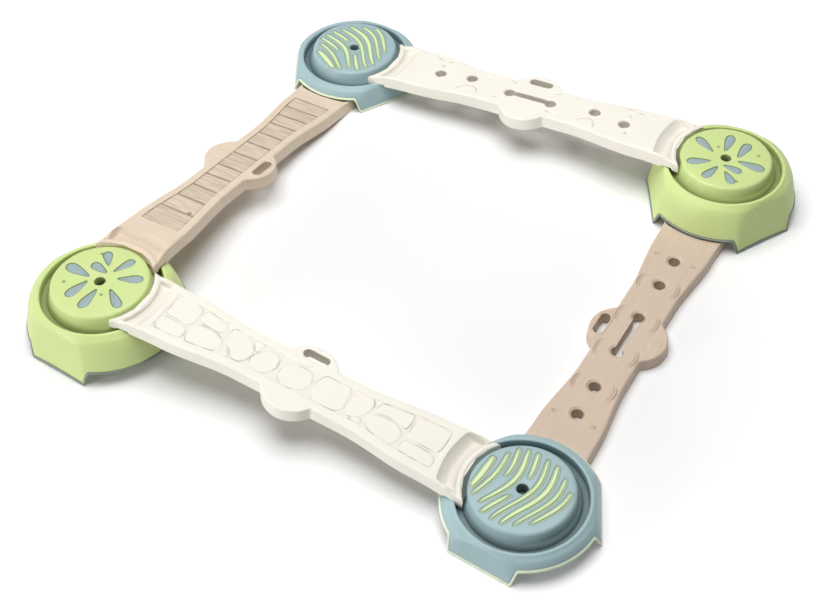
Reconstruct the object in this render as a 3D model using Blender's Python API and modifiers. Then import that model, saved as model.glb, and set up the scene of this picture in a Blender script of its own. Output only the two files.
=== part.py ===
# Play obstacle course: four round stepping hubs joined into a square by four walkway bridges.
# Two tall hubs and two low hubs. A bridge end either hooks into a hub's ring groove (a high end)
# or lies on the floor under one of the hub's arches (a low end).
# Metres, +Z up. The origin is on the floor at the middle of the square of hub axes.
# +X runs from the left hub to the front hub, +Y from the left hub to the back hub.

import math

import bmesh
import bpy
from mathutils import Matrix
from mathutils import Vector

# Course layout
hub_spacing = 0.920
tall_hub_height = 0.1225
low_hub_height = 0.0693
fit_gap = 0.0003

# Hub disc, groove and rim, the same on both hub heights
disc_radius = 0.095
disc_edge_round = 0.0045
disc_top_thickness = 0.004
disc_corner_wall = 0.0015
disc_wall_draft = 0.0045
centre_hole_radius = 0.0112
centre_hole_chamfer = 0.0015
centre_tube_wall = 0.0028
centre_tube_depth = 0.026
groove_width = 0.024
groove_depth = 0.034
groove_wall_lean = 0.001
rim_drop = 0.0175
rim_width = 0.010
rim_edge_fall = 0.0016
rim_inner_round = 0.002
rim_outer_round = 0.0012
rim_bead_height = 0.0035
hub_wall = 0.0032
collar_step = 0.0005
collar_floor_gap = 0.006

# Hub skirt: a bell that swells out from the rim, cut by three flat sides
skirt_top_drop = 0.021
skirt_swell_power = 0.45
flat_side_power = 0.8
upright_share = 0.55
flat_side_half_angle = math.radians(24)
claw_angle = math.radians(5.5)
tall_foot_spread = 0.0332
low_foot_spread = 0.0262
tall_side_edge_rise = 0.003
low_side_edge_rise = 0.0
arch_height = 0.030
foot_rim_height = 0.0045
foot_rim_gap = 0.0014
foot_rim_proud = 0.0012

# Second colour insert under the disc, whose raised pattern comes up through the disc
insert_edge_gap = 0.0005
insert_plate_thickness = 0.003
insert_hole_gap = 0.0015
pattern_clearance = 0.0004
petal_top_inset = 0.0008
stripe_top_proud = 0.0012
ring_width = 0.0117
ring_thickness = 0.004

# Bridges
deck_rise = 0.005
deck_depth = 0.027
deck_wall = 0.0032
deck_edge_round = 0.004
deck_wall_draft = 0.002
waist_half_width = 0.049
flare_half_width = 0.0625
flare_start = 0.190
flare_end = 0.345
side_corners = (0.130, 0.235, 0.290)
tip_shoulder = 0.00696
tip_length = 0.006
tip_side_length = 0.014
lip_gap = 0.011
lip_half_angle = math.radians(41)
lip_drop = 0.007
lip_bead_width = 0.010
lip_bead_round = 0.0015
lip_run_out = 0.024
scoop_length = 0.034
scoop_arc_radius = 0.190
scoop_half_width = 0.0625
scoop_corner_radius = 0.016
scoop_depth = 0.015
rim_notch_inside = 0.0018
rim_notch_outside = 0.0080
seat_gap = 0.0004
ear_radius = 0.061
ear_offset = 0.019
pad_half_angle = math.radians(13)
pad_width = 0.007
pad_thickness = 0.0029
pad_set_back = 0.001
low_end_arch_gap = 0.0015
low_end_seat_depth = 0.012
loose_bridge_slip = (-0.0020, -0.0065)

# Bridge openings and the framed panel
round_hole_radius = 0.0125
hole_taper = 0.0012
hole_collar_wall = 0.0024
hole_collar_depth = 0.0140
hole_dish_depth = 0.003
wide_dish = 0.0045
narrow_dish = 0.0015
inner_hole_distance = 0.309
inner_hole_shift = 0.012
outer_hole_distance = 0.234
centre_slot_length = 0.126
centre_slot_end_radius = 0.0125
centre_slot_neck = 0.015
ear_slot_length = 0.057
ear_slot_width = 0.021
ear_slot_offset = 0.0565
ear_rim_width = 0.0032
ear_rim_height = 0.0008
ear_button_radius = 0.013
ear_button_height = 0.0010
panel_depth = 0.0025
panel_border = 0.017
relief_top_inset = 0.0008
relief_side_share = 0.965
stone_panel_setback = 0.008
plank_panel_setback = 0.038
plank_joint = 0.0035

# Raised stripes of the low hubs: they run side by side, lean together and straighten at one side.
# Lengths are shares of the disc radius
stripe_heading = math.radians(64)
stripe_lean = 0.16
stripe_swing = 0.126
stripe_swing_length = 2.1
stripe_swing_peak = 0.126
stripe_straight_side = -0.95
stripe_full_swing = 0.63
stripes = (
    # place across the disc, start and end along the stripe, width
    (-0.80, -0.38, 0.36, 0.095),
    (-0.58, -0.59, 0.59, 0.063),
    (-0.40, 0.13, 0.76, 0.058),
    (-0.21, -0.61, 0.82, 0.079),
    (-0.01, 0.295, 0.84, 0.063),
    (-0.01, -0.80, -0.27, 0.074),
    (0.21, -0.84, 0.78, 0.065),
    (0.42, -0.84, 0.74, 0.089),
    (0.63, -0.76, 0.55, 0.063),
    (0.82, -0.59, 0.32, 0.074),
)

# Drop-shaped petals of the tall hubs
petals = (
    # degrees round the hub to the tip, heading in degrees, then shares of the disc radius:
    # tip's distance from the axis, length, width
    (80, 105, 0.460, 0.400, 0.190),
    (51, 43, 0.368, 0.484, 0.190),
    (13, 1, 0.366, 0.516, 0.210),
    (-40, -60, 0.347, 0.558, 0.200),
    (-94, -114, 0.237, 0.558, 0.210),
    (183, 233, 0.263, 0.547, 0.210),
    (154, 150, 0.284, 0.600, 0.242),
    (71, 144, 0.253, 0.421, 0.200),
)
petal_sections = ((0.0, 0.16), (0.25, 0.50), (0.55, 0.88), (0.78, 0.98), (0.94, 0.66))

# Flagstones of the front bridge, by their corners: share of half the panel length, then of its half width
stones = (
    ((-0.985, 0.96), (-0.985, -0.10), (-0.81, -0.15), (-0.79, 0.45), (-0.80, 0.96)),
    ((-0.985, -0.28), (-0.985, -0.96), (-0.80, -0.96), (-0.79, -0.60), (-0.82, -0.30)),
    ((-0.775, 0.96), (-0.775, 0.33), (-0.62, 0.24), (-0.59, 0.40), (-0.59, 0.96)),
    ((-0.79, 0.02), (-0.67, 0.14), (-0.56, 0.02), (-0.535, -0.50), (-0.57, -0.96), (-0.78, -0.96)),
    ((-0.53, -0.96), (-0.52, -0.62), (-0.497, -0.54), (-0.475, -0.64), (-0.46, -0.96)),
    ((-0.56, 0.96), (-0.555, 0.10), (-0.50, -0.36), (-0.43, -0.96), (-0.38, -0.90), (-0.345, 0.0),
     (-0.42, 0.96)),
    ((-0.395, 0.96), (-0.337, 0.12), (-0.31, 0.96)),
    ((-0.335, 0.20), (-0.23, 0.88), (-0.165, 0.30), (-0.18, -0.75), (-0.24, -0.96), (-0.33, -0.75)),
    ((-0.135, 0.40), (-0.05, 0.90), (0.06, 0.75), (0.085, -0.2), (0.04, -0.96), (-0.09, -0.96),
     (-0.14, -0.40)),
    ((0.10, 0.0), (0.125, 0.96), (0.31, 0.96), (0.335, 0.10), (0.33, -0.75), (0.15, -0.96), (0.105, -0.60)),
    ((0.35, 0.50), (0.40, 0.96), (0.48, 0.96), (0.49, -0.10), (0.43, -0.72), (0.36, -0.76)),
    ((0.385, -0.96), (0.42, -0.74), (0.475, -0.56), (0.48, -0.96)),
    ((0.50, -0.02), (0.62, 0.26), (0.73, 0.05), (0.745, -0.60), (0.70, -0.96), (0.53, -0.96)),
    ((0.515, 0.96), (0.51, 0.24), (0.62, 0.40), (0.74, 0.20), (0.745, 0.96)),
    ((0.765, 0.96), (0.76, -0.22), (0.97, -0.26), (0.985, 0.10), (0.985, 0.96)),
    ((0.765, -0.38), (0.95, -0.42), (0.985, -0.60), (0.985, -0.96), (0.765, -0.96)),
)

# Ends of the planks of the left bridge, as shares of half the panel length
plank_joints = (-1.0, -0.79, -0.62, -0.45, -0.28, -0.13, 0.07, 0.245, 0.41, 0.58, 0.72, 0.855, 1.0)

# The scoop behind each lip, from the top down: height, then the set-in along and across the bridge
scoop_levels = (
    (0.003, -0.0006, -0.0006),
    (-0.004, 0.0016, 0.0012),
    (-0.010, 0.0080, 0.0030),
    (-scoop_depth, 0.0220, 0.0070),
)

# How finely round shapes are divided
turn_steps = 24
hole_steps = 8
ear_steps = 8

# Sizes that follow from the ones above
groove_outer_radius = disc_radius + groove_width
rim_outer_radius = groove_outer_radius + rim_width
rim_middle_radius = groove_outer_radius + rim_width * 0.6
tall_foot_radius = rim_outer_radius + tall_foot_spread
low_foot_radius = rim_outer_radius + low_foot_spread
collar_radius = disc_radius + collar_step
centre_tube_radius = centre_hole_radius + centre_tube_wall
insert_plate_radius = disc_radius - disc_edge_round - disc_corner_wall - insert_edge_gap
lip_radius = disc_radius + lip_gap
lip_crest_end = lip_radius + lip_bead_width
tip_half_width = lip_radius * math.sin(lip_half_angle) + tip_shoulder
scoop_reach = lip_crest_end + scoop_length
stone_panel_start = scoop_reach + stone_panel_setback
plank_panel_start = scoop_reach + plank_panel_setback

# Distances from a hub axis where a bridge's curved sides get a corner
side_stations = tuple(sorted(side_corners + (flare_start, flare_end)))

green = (0.617, 0.745, 0.275, 1)
blue = (0.305, 0.456, 0.546, 1)
grey_blue = (0.328, 0.428, 0.428, 1)
lime = (0.680, 0.831, 0.352, 1)
ivory = (0.965, 0.920, 0.830, 1)
beige = (0.730, 0.610, 0.456, 1)
dark_grey = (0.10, 0.10, 0.10, 1)


def clear_scene():
    for item in list(bpy.data.objects):
        bpy.data.objects.remove(item, do_unlink=True)


def new_collection(name):
    made = bpy.data.collections.new(name)
    bpy.context.scene.collection.children.link(made)
    return made


def new_material(name, colour, roughness):
    made = bpy.data.materials.new(name)
    made.use_nodes = True
    shader = made.node_tree.nodes["Principled BSDF"]
    shader.inputs["Base Color"].default_value = colour
    shader.inputs["Roughness"].default_value = roughness
    shader.inputs["Metallic"].default_value = 0.0
    return made


def put_object(name, mesh, group, material=None):
    made = bpy.data.objects.new(name, mesh)
    group.objects.link(made)
    if material is not None:
        mesh.materials.append(material)
    return made


def as_cutter(item):
    item.hide_render = True
    item.display_type = "WIRE"
    return item


def mesh_from(bm, name):
    bmesh.ops.recalc_face_normals(bm, faces=bm.faces)
    mesh = bpy.data.meshes.new(name)
    bm.to_mesh(mesh)
    bm.free()
    return mesh


def evaluated_mesh(item):
    bpy.context.view_layer.update()
    seen = item.evaluated_get(bpy.context.evaluated_depsgraph_get())
    return bpy.data.meshes.new_from_object(seen)


def boolean(item, operation, other):
    step = item.modifiers.new(operation.title(), "BOOLEAN")
    step.operation = operation
    step.object = other
    step.solver = "EXACT"


def merge_flat_faces(item):
    """Joins the coplanar faces that the cuts leave behind."""
    step = item.modifiers.new("Flat faces", "DECIMATE")
    step.decimate_type = "DISSOLVE"
    step.angle_limit = math.radians(0.3)


def turned(name, profile, group, steps=turn_steps, material=None, closed=True):
    """A closed profile of (radius, height) points turned about Z."""
    mesh = bpy.data.meshes.new(name)
    edges = [(i, i + 1) for i in range(len(profile) - 1)]
    if closed:
        edges.append((len(profile) - 1, 0))
    mesh.from_pydata([(radius, 0, height) for radius, height in profile], edges, [])
    made = put_object(name, mesh, group, material)
    screw = made.modifiers.new("Turn", "SCREW")
    screw.angle = math.tau
    screw.steps = steps
    screw.render_steps = steps
    screw.use_merge_vertices = True
    screw.merge_threshold = 0.00001
    screw.use_normal_calculate = False
    return made


def prism(outlines, low, high, name, draft=0.0, top_round=0.0):
    """Closed walls between two heights on plan outlines. The foot may be drafted outwards."""
    bm = bmesh.new()
    for outline in outlines:
        top_face = bm.faces.new([bm.verts.new((x, y, high)) for x, y in outline])
        rim_edges = list(top_face.edges)
        grown = bmesh.ops.extrude_face_region(bm, geom=[top_face])
        spread = offset_outline(outline, draft) if draft else outline
        for vert in [item for item in grown["geom"] if isinstance(item, bmesh.types.BMVert)]:
            x, y = spread[nearest_point(outline, vert.co)]
            vert.co = (x, y, low)
        if top_round:
            bmesh.ops.bevel(bm, geom=rim_edges, offset=top_round, segments=1,
                            profile=0.5, affect="EDGES", clamp_overlap=False)
    return mesh_from(bm, name)


def lofted(levels, name):
    """Closed walls through outlines with equal point counts, given with their heights from the top down."""
    bm = bmesh.new()
    rings = [[bm.verts.new((x, y, height)) for x, y in outline] for outline, height in levels]
    bm.faces.new(rings[0])
    bm.faces.new(rings[-1])
    for upper, lower in zip(rings, rings[1:]):
        ring_strip(bm, upper, lower)
    return mesh_from(bm, name)


def nearest_point(outline, place):
    def distance(i):
        return math.hypot(outline[i][0] - place.x, outline[i][1] - place.y)

    return min(range(len(outline)), key=distance)


def offset_outline(outline, distance):
    """Moves a counter-clockwise outline outwards by a distance, with mitred corners."""
    moved = []
    count = len(outline)
    for i in range(count):
        before = Vector(outline[i - 1])
        here = Vector(outline[i])
        after = Vector(outline[(i + 1) % count])
        first = (here - before).normalized()
        second = (after - here).normalized()
        normal_one = Vector((first.y, -first.x))
        normal_two = Vector((second.y, -second.x))
        middle = (normal_one + normal_two).normalized()
        stretch = 1.0 / max(0.45, middle.dot(normal_one))
        point = here + middle * distance * stretch
        moved.append((point.x, point.y))
    return moved


def circle_outline(x, y, radius, steps=hole_steps):
    return [(x + radius * math.cos(math.tau * i / steps), y + radius * math.sin(math.tau * i / steps))
            for i in range(steps)]


def stadium_outline(x, y, length, width, steps=6):
    """A slot along X with round ends."""
    radius = width / 2
    straight = length / 2 - radius
    points = []
    for side, start in ((1, -math.pi / 2), (-1, math.pi / 2)):
        for i in range(steps + 1):
            angle = start + math.pi * i / steps
            points.append((x + side * straight + radius * math.cos(angle), y + radius * math.sin(angle)))
    return points


def bone_outline(x, y, length, end_radius, neck, steps=8):
    """A long slot along X with rounder ends and a narrower neck."""
    centre = length / 2 - end_radius
    open_angle = math.asin(neck / 2 / end_radius)
    points = []
    for side, middle in ((1, 0.0), (-1, math.pi)):
        for i in range(steps + 1):
            angle = middle - (math.pi - open_angle) + 2 * (math.pi - open_angle) * i / steps
            end_x = x + side * centre
            points.append((end_x + end_radius * math.cos(angle), y + end_radius * math.sin(angle)))
    return points


# Hub shell

def hub_core_profile(height):
    """The disc, groove, rim bead, locating collar and centre tube, as one closed profile."""
    underside = height - disc_top_thickness
    groove_floor = height - groove_depth
    groove_under = groove_floor - hub_wall
    rim_top = height - rim_drop
    skirt_top = height - skirt_top_drop
    tube_foot = height - centre_tube_depth
    collar_inner = collar_radius - hub_wall
    return [
        (centre_hole_radius, tube_foot),
        (centre_hole_radius, height - centre_hole_chamfer),
        (centre_hole_radius + centre_hole_chamfer, height),
        (disc_radius - disc_edge_round, height),
        (disc_radius - disc_edge_round * 0.3, height - disc_edge_round * 0.3),
        (disc_radius, height - disc_edge_round),
        (disc_radius + disc_wall_draft, groove_floor),
        (groove_outer_radius - groove_wall_lean, groove_floor),
        (groove_outer_radius + rim_inner_round, rim_top - rim_bead_height * 0.6),
        (rim_middle_radius, rim_top),
        (rim_outer_radius - rim_outer_round, rim_top - rim_edge_fall),
        (rim_outer_radius, skirt_top - rim_outer_round),
        (rim_outer_radius - hub_wall, skirt_top - hub_wall),
        (groove_outer_radius + hub_wall - groove_wall_lean, groove_under),
        (collar_radius, groove_under),
        (collar_radius, collar_floor_gap),
        (collar_inner, collar_floor_gap),
        (collar_inner - collar_step, groove_floor),
        (disc_radius - hub_wall, height - disc_edge_round - hub_wall),
        (disc_radius - disc_edge_round - disc_corner_wall, underside),
        (centre_tube_radius, underside),
        (centre_tube_radius, tube_foot),
    ]


def foot_edge(side_rise):
    """The lower edge over half a third of the hub: (angle from a flat side's middle, height)."""
    half = flat_side_half_angle
    points = []
    for share in (0.0, 0.5):
        points.append((half * share, side_rise * (1 - share * share)))
    points.append((half, 0.0))
    for turn, rise in ((0.2, 0.14), (0.6, 0.80), (1.0, 1.0)):
        points.append((half + claw_angle * turn, arch_height * rise))
    arch_middle = math.pi / 3
    start = half + claw_angle
    for share in (0.45, 1.0):
        points.append((start + (arch_middle - start) * share, arch_height))
    return points


def full_foot_edge(side_rise):
    """The lower edge all the way round: each half third is mirrored and turned."""
    half = foot_edge(side_rise)
    third = [(-angle, height) for angle, height in reversed(half[1:-1])] + half
    points = []
    for turn in range(3):
        points += [(angle + turn * math.tau / 3, height) for angle, height in third]
    return points


def skirt_radius(angle, height, hub_height, foot_radius):
    """Outer radius of the bell at an angle from a flat side's middle."""
    top = hub_height - skirt_top_drop
    share = min(1.0, max(0.0, (top - height) / top))
    bell = rim_outer_radius + (foot_radius - rim_outer_radius) * share ** skirt_swell_power
    flat_foot = foot_radius * math.cos(flat_side_half_angle)
    flat = rim_outer_radius + (flat_foot - rim_outer_radius) * share ** flat_side_power
    third = math.tau / 3
    off = (angle + third / 2) % third - third / 2
    if abs(off) > flat_side_half_angle:
        return bell
    return min(bell, flat / math.cos(off))


def raised_edge(edge, foot_radius, distance):
    """The edge moved up into the wall by a distance, square to its own run."""
    moved = []
    count = len(edge)
    for i in range(count):
        before = edge[i - 1]
        here = edge[i]
        after = edge[(i + 1) % count]
        first = Vector((math.remainder(here[0] - before[0], math.tau) * foot_radius, here[1] - before[1]))
        second = Vector((math.remainder(after[0] - here[0], math.tau) * foot_radius, after[1] - here[1]))
        normal_one = Vector((-first.y, first.x)).normalized()
        normal_two = Vector((-second.y, second.x)).normalized()
        middle = (normal_one + normal_two).normalized()
        stretch = 1.0 / max(0.6, middle.dot(normal_one))
        move = middle * distance * stretch
        moved.append((here[0] + move.x / foot_radius, here[1] + move.y))
    return moved


def ring_strip(bm, first, second):
    count = len(first)
    for i in range(count):
        j = (i + 1) % count
        bm.faces.new((first[i], first[j], second[j], second[i]))


def around(bm, places, radius_of):
    return [bm.verts.new((radius_of(a, h) * math.cos(a), radius_of(a, h) * math.sin(a), h))
            for a, h in places]


def skirt_mesh(name, hub_height, foot_radius, side_rise):
    """The bell shell from inside the rim bead down to just above the foot rim."""
    edge = full_foot_edge(side_rise)
    lower = raised_edge(edge, foot_radius, foot_rim_height + foot_rim_gap)
    top = hub_height - skirt_top_drop
    count = len(edge)
    even = [edge[0][0] + math.tau * i / count for i in range(count)]
    bm = bmesh.new()

    def outer(angle, height):
        return skirt_radius(angle, height, hub_height, foot_radius)

    def inner(angle, height):
        return outer(angle, height) - hub_wall

    def level(share):
        turn = min(1.0, share / upright_share)
        return [(even[i] + (lower[i][0] - even[i]) * turn, top + (lower[i][1] - top) * share)
                for i in range(count)]

    crown = [(angle, top + hub_wall * 0.25) for angle in even]
    crown_outer = around(bm, crown, lambda a, h: rim_outer_radius - hub_wall * 0.2)
    crown_inner = around(bm, crown, lambda a, h: rim_outer_radius - hub_wall)
    rings = [crown_outer]
    for share in (0.06, 0.22, upright_share, 1.0):
        rings.append(around(bm, level(share), outer))
    rings.append(around(bm, level(1.0), inner))
    rings.append(crown_inner)
    for i in range(len(rings)):
        ring_strip(bm, rings[i], rings[(i + 1) % len(rings)])
    return mesh_from(bm, name)


def foot_rim_mesh(name, hub_height, foot_radius, side_rise):
    """The second colour edge band under the whole skirt."""
    edge = full_foot_edge(side_rise)
    lower = raised_edge(edge, foot_radius, foot_rim_height)
    bm = bmesh.new()

    def outer(angle, height):
        return skirt_radius(angle, height, hub_height, foot_radius) + foot_rim_proud

    def inner(angle, height):
        return skirt_radius(angle, height, hub_height, foot_radius) - hub_wall - foot_rim_proud

    rings = [around(bm, lower, outer), around(bm, edge, outer)]
    rings += [around(bm, edge, inner), around(bm, lower, inner)]
    for i in range(len(rings)):
        ring_strip(bm, rings[i], rings[(i + 1) % len(rings)])
    return mesh_from(bm, name)


# Hub patterns

def petal_outline(tip_turn, heading, tip_share, length_share, width_share, grow):
    """A drop with a narrow tip, which widens along its heading, grown by a clearance."""
    along = Vector((math.cos(heading), math.sin(heading)))
    across = Vector((-along.y, along.x))
    tip = Vector((math.cos(tip_turn), math.sin(tip_turn))) * tip_share * disc_radius
    length = length_share * disc_radius
    half_width = width_share * disc_radius / 2
    half = [(length * share, half_width * wide) for share, wide in petal_sections]
    points = [tip + along * x - across * y for x, y in half]
    points.append(tip + along * length)
    points += [tip + along * x + across * y for x, y in reversed(half)]
    outline = [(p.x, p.y) for p in points]
    return offset_outline(outline, grow) if grow else outline


def petal_outlines(grow):
    return [petal_outline(math.radians(turn), math.radians(heading), tip, length, width, grow)
            for turn, heading, tip, length, width in petals]


def stripe_outline(place, start, end, width, grow):
    """A wavy stripe with pointed ends."""
    steps = 5
    share_of_swing = min(1.0, (place - stripe_straight_side) / stripe_full_swing)
    heading = Vector((math.cos(stripe_heading), math.sin(stripe_heading)))
    sideways = Vector((heading.y, -heading.x))
    upper = []
    lower = []
    for i in range(steps + 1):
        share = i / steps
        y = start + (end - start) * share
        swell = math.sin(math.pi * share) ** 0.55 if 0 < i < steps else 0.0
        half = width / 2 * (0.2 + 0.8 * swell)
        past_peak = y - stripe_swing_peak
        swing = stripe_swing * (math.cos(math.tau * past_peak / stripe_swing_length) - 1)
        x = place + share_of_swing * (swing + stripe_lean * past_peak)
        middle = (sideways * x + heading * y) * disc_radius
        upper.append(middle - sideways * half * disc_radius)
        lower.append(middle + sideways * half * disc_radius)
    outline = [(p.x, p.y) for p in lower + list(reversed(upper))]
    return offset_outline(outline, grow) if grow else outline


def stripe_outlines(grow):
    return [stripe_outline(place, start, end, width, grow) for place, start, end, width in stripes]


def build_hub(name, spot, turn, tall, course, cutters, paint):
    """One hub: shell, pattern insert, its retaining ring and the foot rim."""
    height = tall_hub_height if tall else low_hub_height
    foot_radius = tall_foot_radius if tall else low_foot_radius
    side_rise = tall_side_edge_rise if tall else low_side_edge_rise
    outlines = petal_outlines if tall else stripe_outlines
    main = paint["green"] if tall else paint["blue"]
    second = paint["grey_blue"] if tall else paint["lime"]
    top_gap = -petal_top_inset if tall else stripe_top_proud
    place = Matrix.Translation(spot) @ Matrix.Rotation(turn, 4, "Z")

    shell = turned(name + "_shell", hub_core_profile(height), course, material=main)
    skirt = put_object(name + "_skirt", skirt_mesh(name + "_skirt", height, foot_radius, side_rise), cutters)
    boolean(shell, "UNION", as_cutter(skirt))
    openings = prism(outlines(pattern_clearance), height - 2 * disc_top_thickness,
                     height + disc_top_thickness, name + "_openings")
    opening_cutter = put_object(name + "_openings", openings, cutters)
    boolean(shell, "DIFFERENCE", as_cutter(opening_cutter))

    insert_hole_radius = centre_tube_radius + insert_hole_gap
    plate_top = height - disc_top_thickness - fit_gap
    plate_foot = plate_top - insert_plate_thickness
    insert = turned(name + "_grip_insert",
                    [(insert_hole_radius, plate_foot), (insert_hole_radius, plate_top),
                     (insert_plate_radius, plate_top), (insert_plate_radius, plate_foot)],
                    course, material=second)
    raised = prism(outlines(0), plate_top - insert_plate_thickness / 2, height + top_gap, name + "_pattern")
    pattern = put_object(name + "_pattern", raised, cutters)
    boolean(insert, "UNION", as_cutter(pattern))

    ring_inner = centre_tube_radius + fit_gap
    ring_outer_radius = ring_inner + ring_width
    ring_top = plate_foot - fit_gap
    ring = turned(name + "_retaining_ring",
                  [(ring_inner, ring_top - ring_thickness), (ring_inner, ring_top),
                   (ring_outer_radius, ring_top), (ring_outer_radius, ring_top - ring_thickness)],
                  course, steps=16, material=paint["ring"])

    rim_mesh = foot_rim_mesh(name + "_foot_rim", height, foot_radius, side_rise)
    foot_rim = put_object(name + "_foot_rim", rim_mesh, course, second)

    merge_flat_faces(shell)
    merge_flat_faces(insert)
    for item in (shell, skirt, opening_cutter, insert, pattern, ring, foot_rim):
        item.matrix_world = place


# Bridges

def side_half_width(u):
    """Half the deck width at a distance from the nearer hub axis."""
    if u <= flare_start:
        tip = lip_radius * math.cos(lip_half_angle)
        share = (flare_start - u) / (flare_start - tip)
        return flare_half_width + (tip_half_width - flare_half_width) * share * share
    share = min(1.0, (flare_end - u) / (flare_end - flare_start))
    if share <= 0:
        return waist_half_width
    smooth = share * share * (3 - 2 * share)
    return waist_half_width + (flare_half_width - waist_half_width) * smooth


def deck_outline(length):
    """Plan outline, counter-clockwise, from the first hub axis at 0 to the second at the length."""
    tip_u = lip_radius * math.cos(lip_half_angle) + tip_length
    half = length / 2
    stations = (tip_u, tip_u + tip_side_length) + side_stations
    right_side = [(u, -side_half_width(u)) for u in stations]
    start = math.asin((waist_half_width - ear_offset) / ear_radius)
    sweep = math.pi - 2 * start
    ear = []
    for i in range(ear_steps + 1):
        angle = math.pi + start + sweep * i / ear_steps
        ear.append((half + ear_radius * math.cos(angle), -ear_offset + ear_radius * math.sin(angle)))
    far_side = [(length - u, v) for u, v in reversed(right_side)]
    near = right_side + ear + far_side
    end_arc = []
    for i in range(7):
        angle = -lip_half_angle + 2 * lip_half_angle * i / 6
        end_arc.append((length - lip_radius * math.cos(angle), lip_radius * math.sin(angle)))
    far = [(length - u, -v) for u, v in near]
    start_arc = [(length - u, -v) for u, v in end_arc]
    return near + end_arc + far + start_arc


def panel_half_width(u, length):
    return side_half_width(min(u, length - u)) - panel_border


def panel_outline(length, start):
    stations = [start] + [u for u in side_stations if u > start + plank_joint]
    side = [(u, -panel_half_width(u, length)) for u in stations]
    near = side + [(length - u, v) for u, v in reversed(side)]
    return near + [(length - u, -v) for u, v in near]


def cut_corners(outline):
    """Replaces every corner by two points, a quarter of the way along its sides."""
    points = []
    for i in range(len(outline)):
        here = Vector(outline[i])
        after = Vector(outline[(i + 1) % len(outline)])
        points.append(tuple(here.lerp(after, 0.25)))
        points.append(tuple(here.lerp(after, 0.75)))
    return points


def stone_outlines(length, start):
    """Flagstone plans from their corner shares, with the corners cut."""
    half = length / 2
    outlines = []
    for stone in stones:
        corners = []
        for along, across in reversed(stone):
            u = half + along * (half - start)
            corners.append((u, across * panel_half_width(u, length)))
        outlines.append(cut_corners(corners))
    return outlines


def plank_outlines(length, start):
    half = length / 2
    outlines = []
    for begin, end in zip(plank_joints, plank_joints[1:]):
        first = half + begin * (half - start) + plank_joint / 2
        last = half + end * (half - start) - plank_joint / 2
        side_one = panel_half_width(first, length) * relief_side_share
        side_two = panel_half_width(last, length) * relief_side_share
        outlines.append([(first, -side_one), (last, -side_two), (last, side_two), (first, side_one)])
    return outlines


def scoop_outline(set_in_along, set_in_across):
    """Round corners and a bowed far side. The near side lies inside the lip."""
    reach = scoop_reach - set_in_along
    half_width = scoop_half_width - set_in_across
    near = lip_radius * math.cos(lip_half_angle) - tip_length
    arc_middle = reach - scoop_arc_radius
    corner_arm = scoop_arc_radius - scoop_corner_radius
    corner_v = half_width - scoop_corner_radius
    corner_u = arc_middle + math.sqrt(corner_arm * corner_arm - corner_v * corner_v)
    bow = math.asin(corner_v / corner_arm)
    lower = [(near, -half_width)]
    for i in range(4):
        angle = -math.pi / 2 + (math.pi / 2 - bow) * i / 3
        lower.append((corner_u + scoop_corner_radius * math.cos(angle),
                      -corner_v + scoop_corner_radius * math.sin(angle)))
    middle = []
    for i in range(1, 6):
        angle = -bow + 2 * bow * i / 6
        middle.append((arc_middle + scoop_arc_radius * math.cos(angle), scoop_arc_radius * math.sin(angle)))
    upper = [(u, -v) for u, v in reversed(lower)]
    return lower + middle + upper


def lip_cutter_profile():
    """Cuts the deck end down to the lip bead and runs out level with the deck."""
    crest = lip_radius + lip_bead_width * 0.5
    run_out = lip_crest_end + lip_run_out
    inside = lip_radius - 2 * lip_bead_width
    above = deck_edge_round * 2.5
    bead_foot = -lip_drop - lip_bead_round * 3
    return [
        (inside, above),
        (run_out + deck_edge_round, above),
        (run_out + deck_edge_round / 2, lip_bead_round),
        (run_out - lip_run_out * 0.35, -lip_drop * 0.33),
        (lip_crest_end, -lip_drop),
        (crest, -lip_drop + lip_bead_round * 0.2),
        (lip_radius + lip_bead_round, -lip_drop - lip_bead_round),
        (lip_radius - lip_bead_round, bead_foot),
        (inside, bead_foot),
    ]


def lip_keep_profile():
    """The round wall behind the lip that the scoop stops at."""
    deep = -scoop_depth * 1.6
    high = scoop_depth * 2
    return [
        (0.0, high),
        (lip_crest_end - lip_bead_round, high),
        (lip_crest_end + lip_bead_round, -lip_drop),
        (lip_crest_end + lip_bead_width * 0.8, deep),
        (0.0, deep),
    ]


def place_end(item, frame, length, far):
    """Puts an end cutter on the first hub axis, or turned about on the second."""
    if far:
        item.matrix_world = frame @ Matrix.Translation((length, 0, 0)) @ Matrix.Rotation(math.pi, 4, "Z")
    else:
        item.matrix_world = frame
    return item


def baked(item, group):
    """Replaces an object by a plain one that holds its evaluated mesh."""
    mesh = evaluated_mesh(item)
    name = item.name
    matrix = item.matrix_world.copy()
    bpy.data.objects.remove(item, do_unlink=True)
    made = put_object(name, mesh, group)
    made.matrix_world = matrix
    return as_cutter(made)


def build_scoop(name, frame, length, far, cutters):
    levels = [(scoop_outline(along, across), height) for height, along, across in scoop_levels]
    hollow = put_object(name, lofted(levels, name), cutters)
    keep = turned(name + "_keep", lip_keep_profile(), cutters, closed=False)
    boolean(hollow, "DIFFERENCE", as_cutter(keep))
    made = baked(hollow, cutters)
    bpy.data.objects.remove(keep, do_unlink=True)
    return place_end(made, frame, length, far)


def backing_mesh(name):
    """The thick floor left under the scoop and the lip."""
    outline = offset_outline(scoop_outline(0, 0), deck_wall)
    return prism([outline], -scoop_depth - deck_wall, scoop_depth, name)


def pad_mesh(name):
    """An arc-shaped rest pad over the rim bead, under the scoop."""
    middle = seat_radius()
    steps = 4
    outline = []
    for side in (1, -1):
        for i in range(steps + 1):
            angle = side * (-pad_half_angle + 2 * pad_half_angle * i / steps)
            radius = middle + side * pad_width / 2
            outline.append((radius * math.cos(angle), radius * math.sin(angle)))
    top = -scoop_depth - deck_wall - fit_gap
    return prism([outline], top - pad_thickness, top, name)


def seat_radius():
    return (groove_outer_radius + rim_outer_radius) / 2 + pad_set_back


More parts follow.
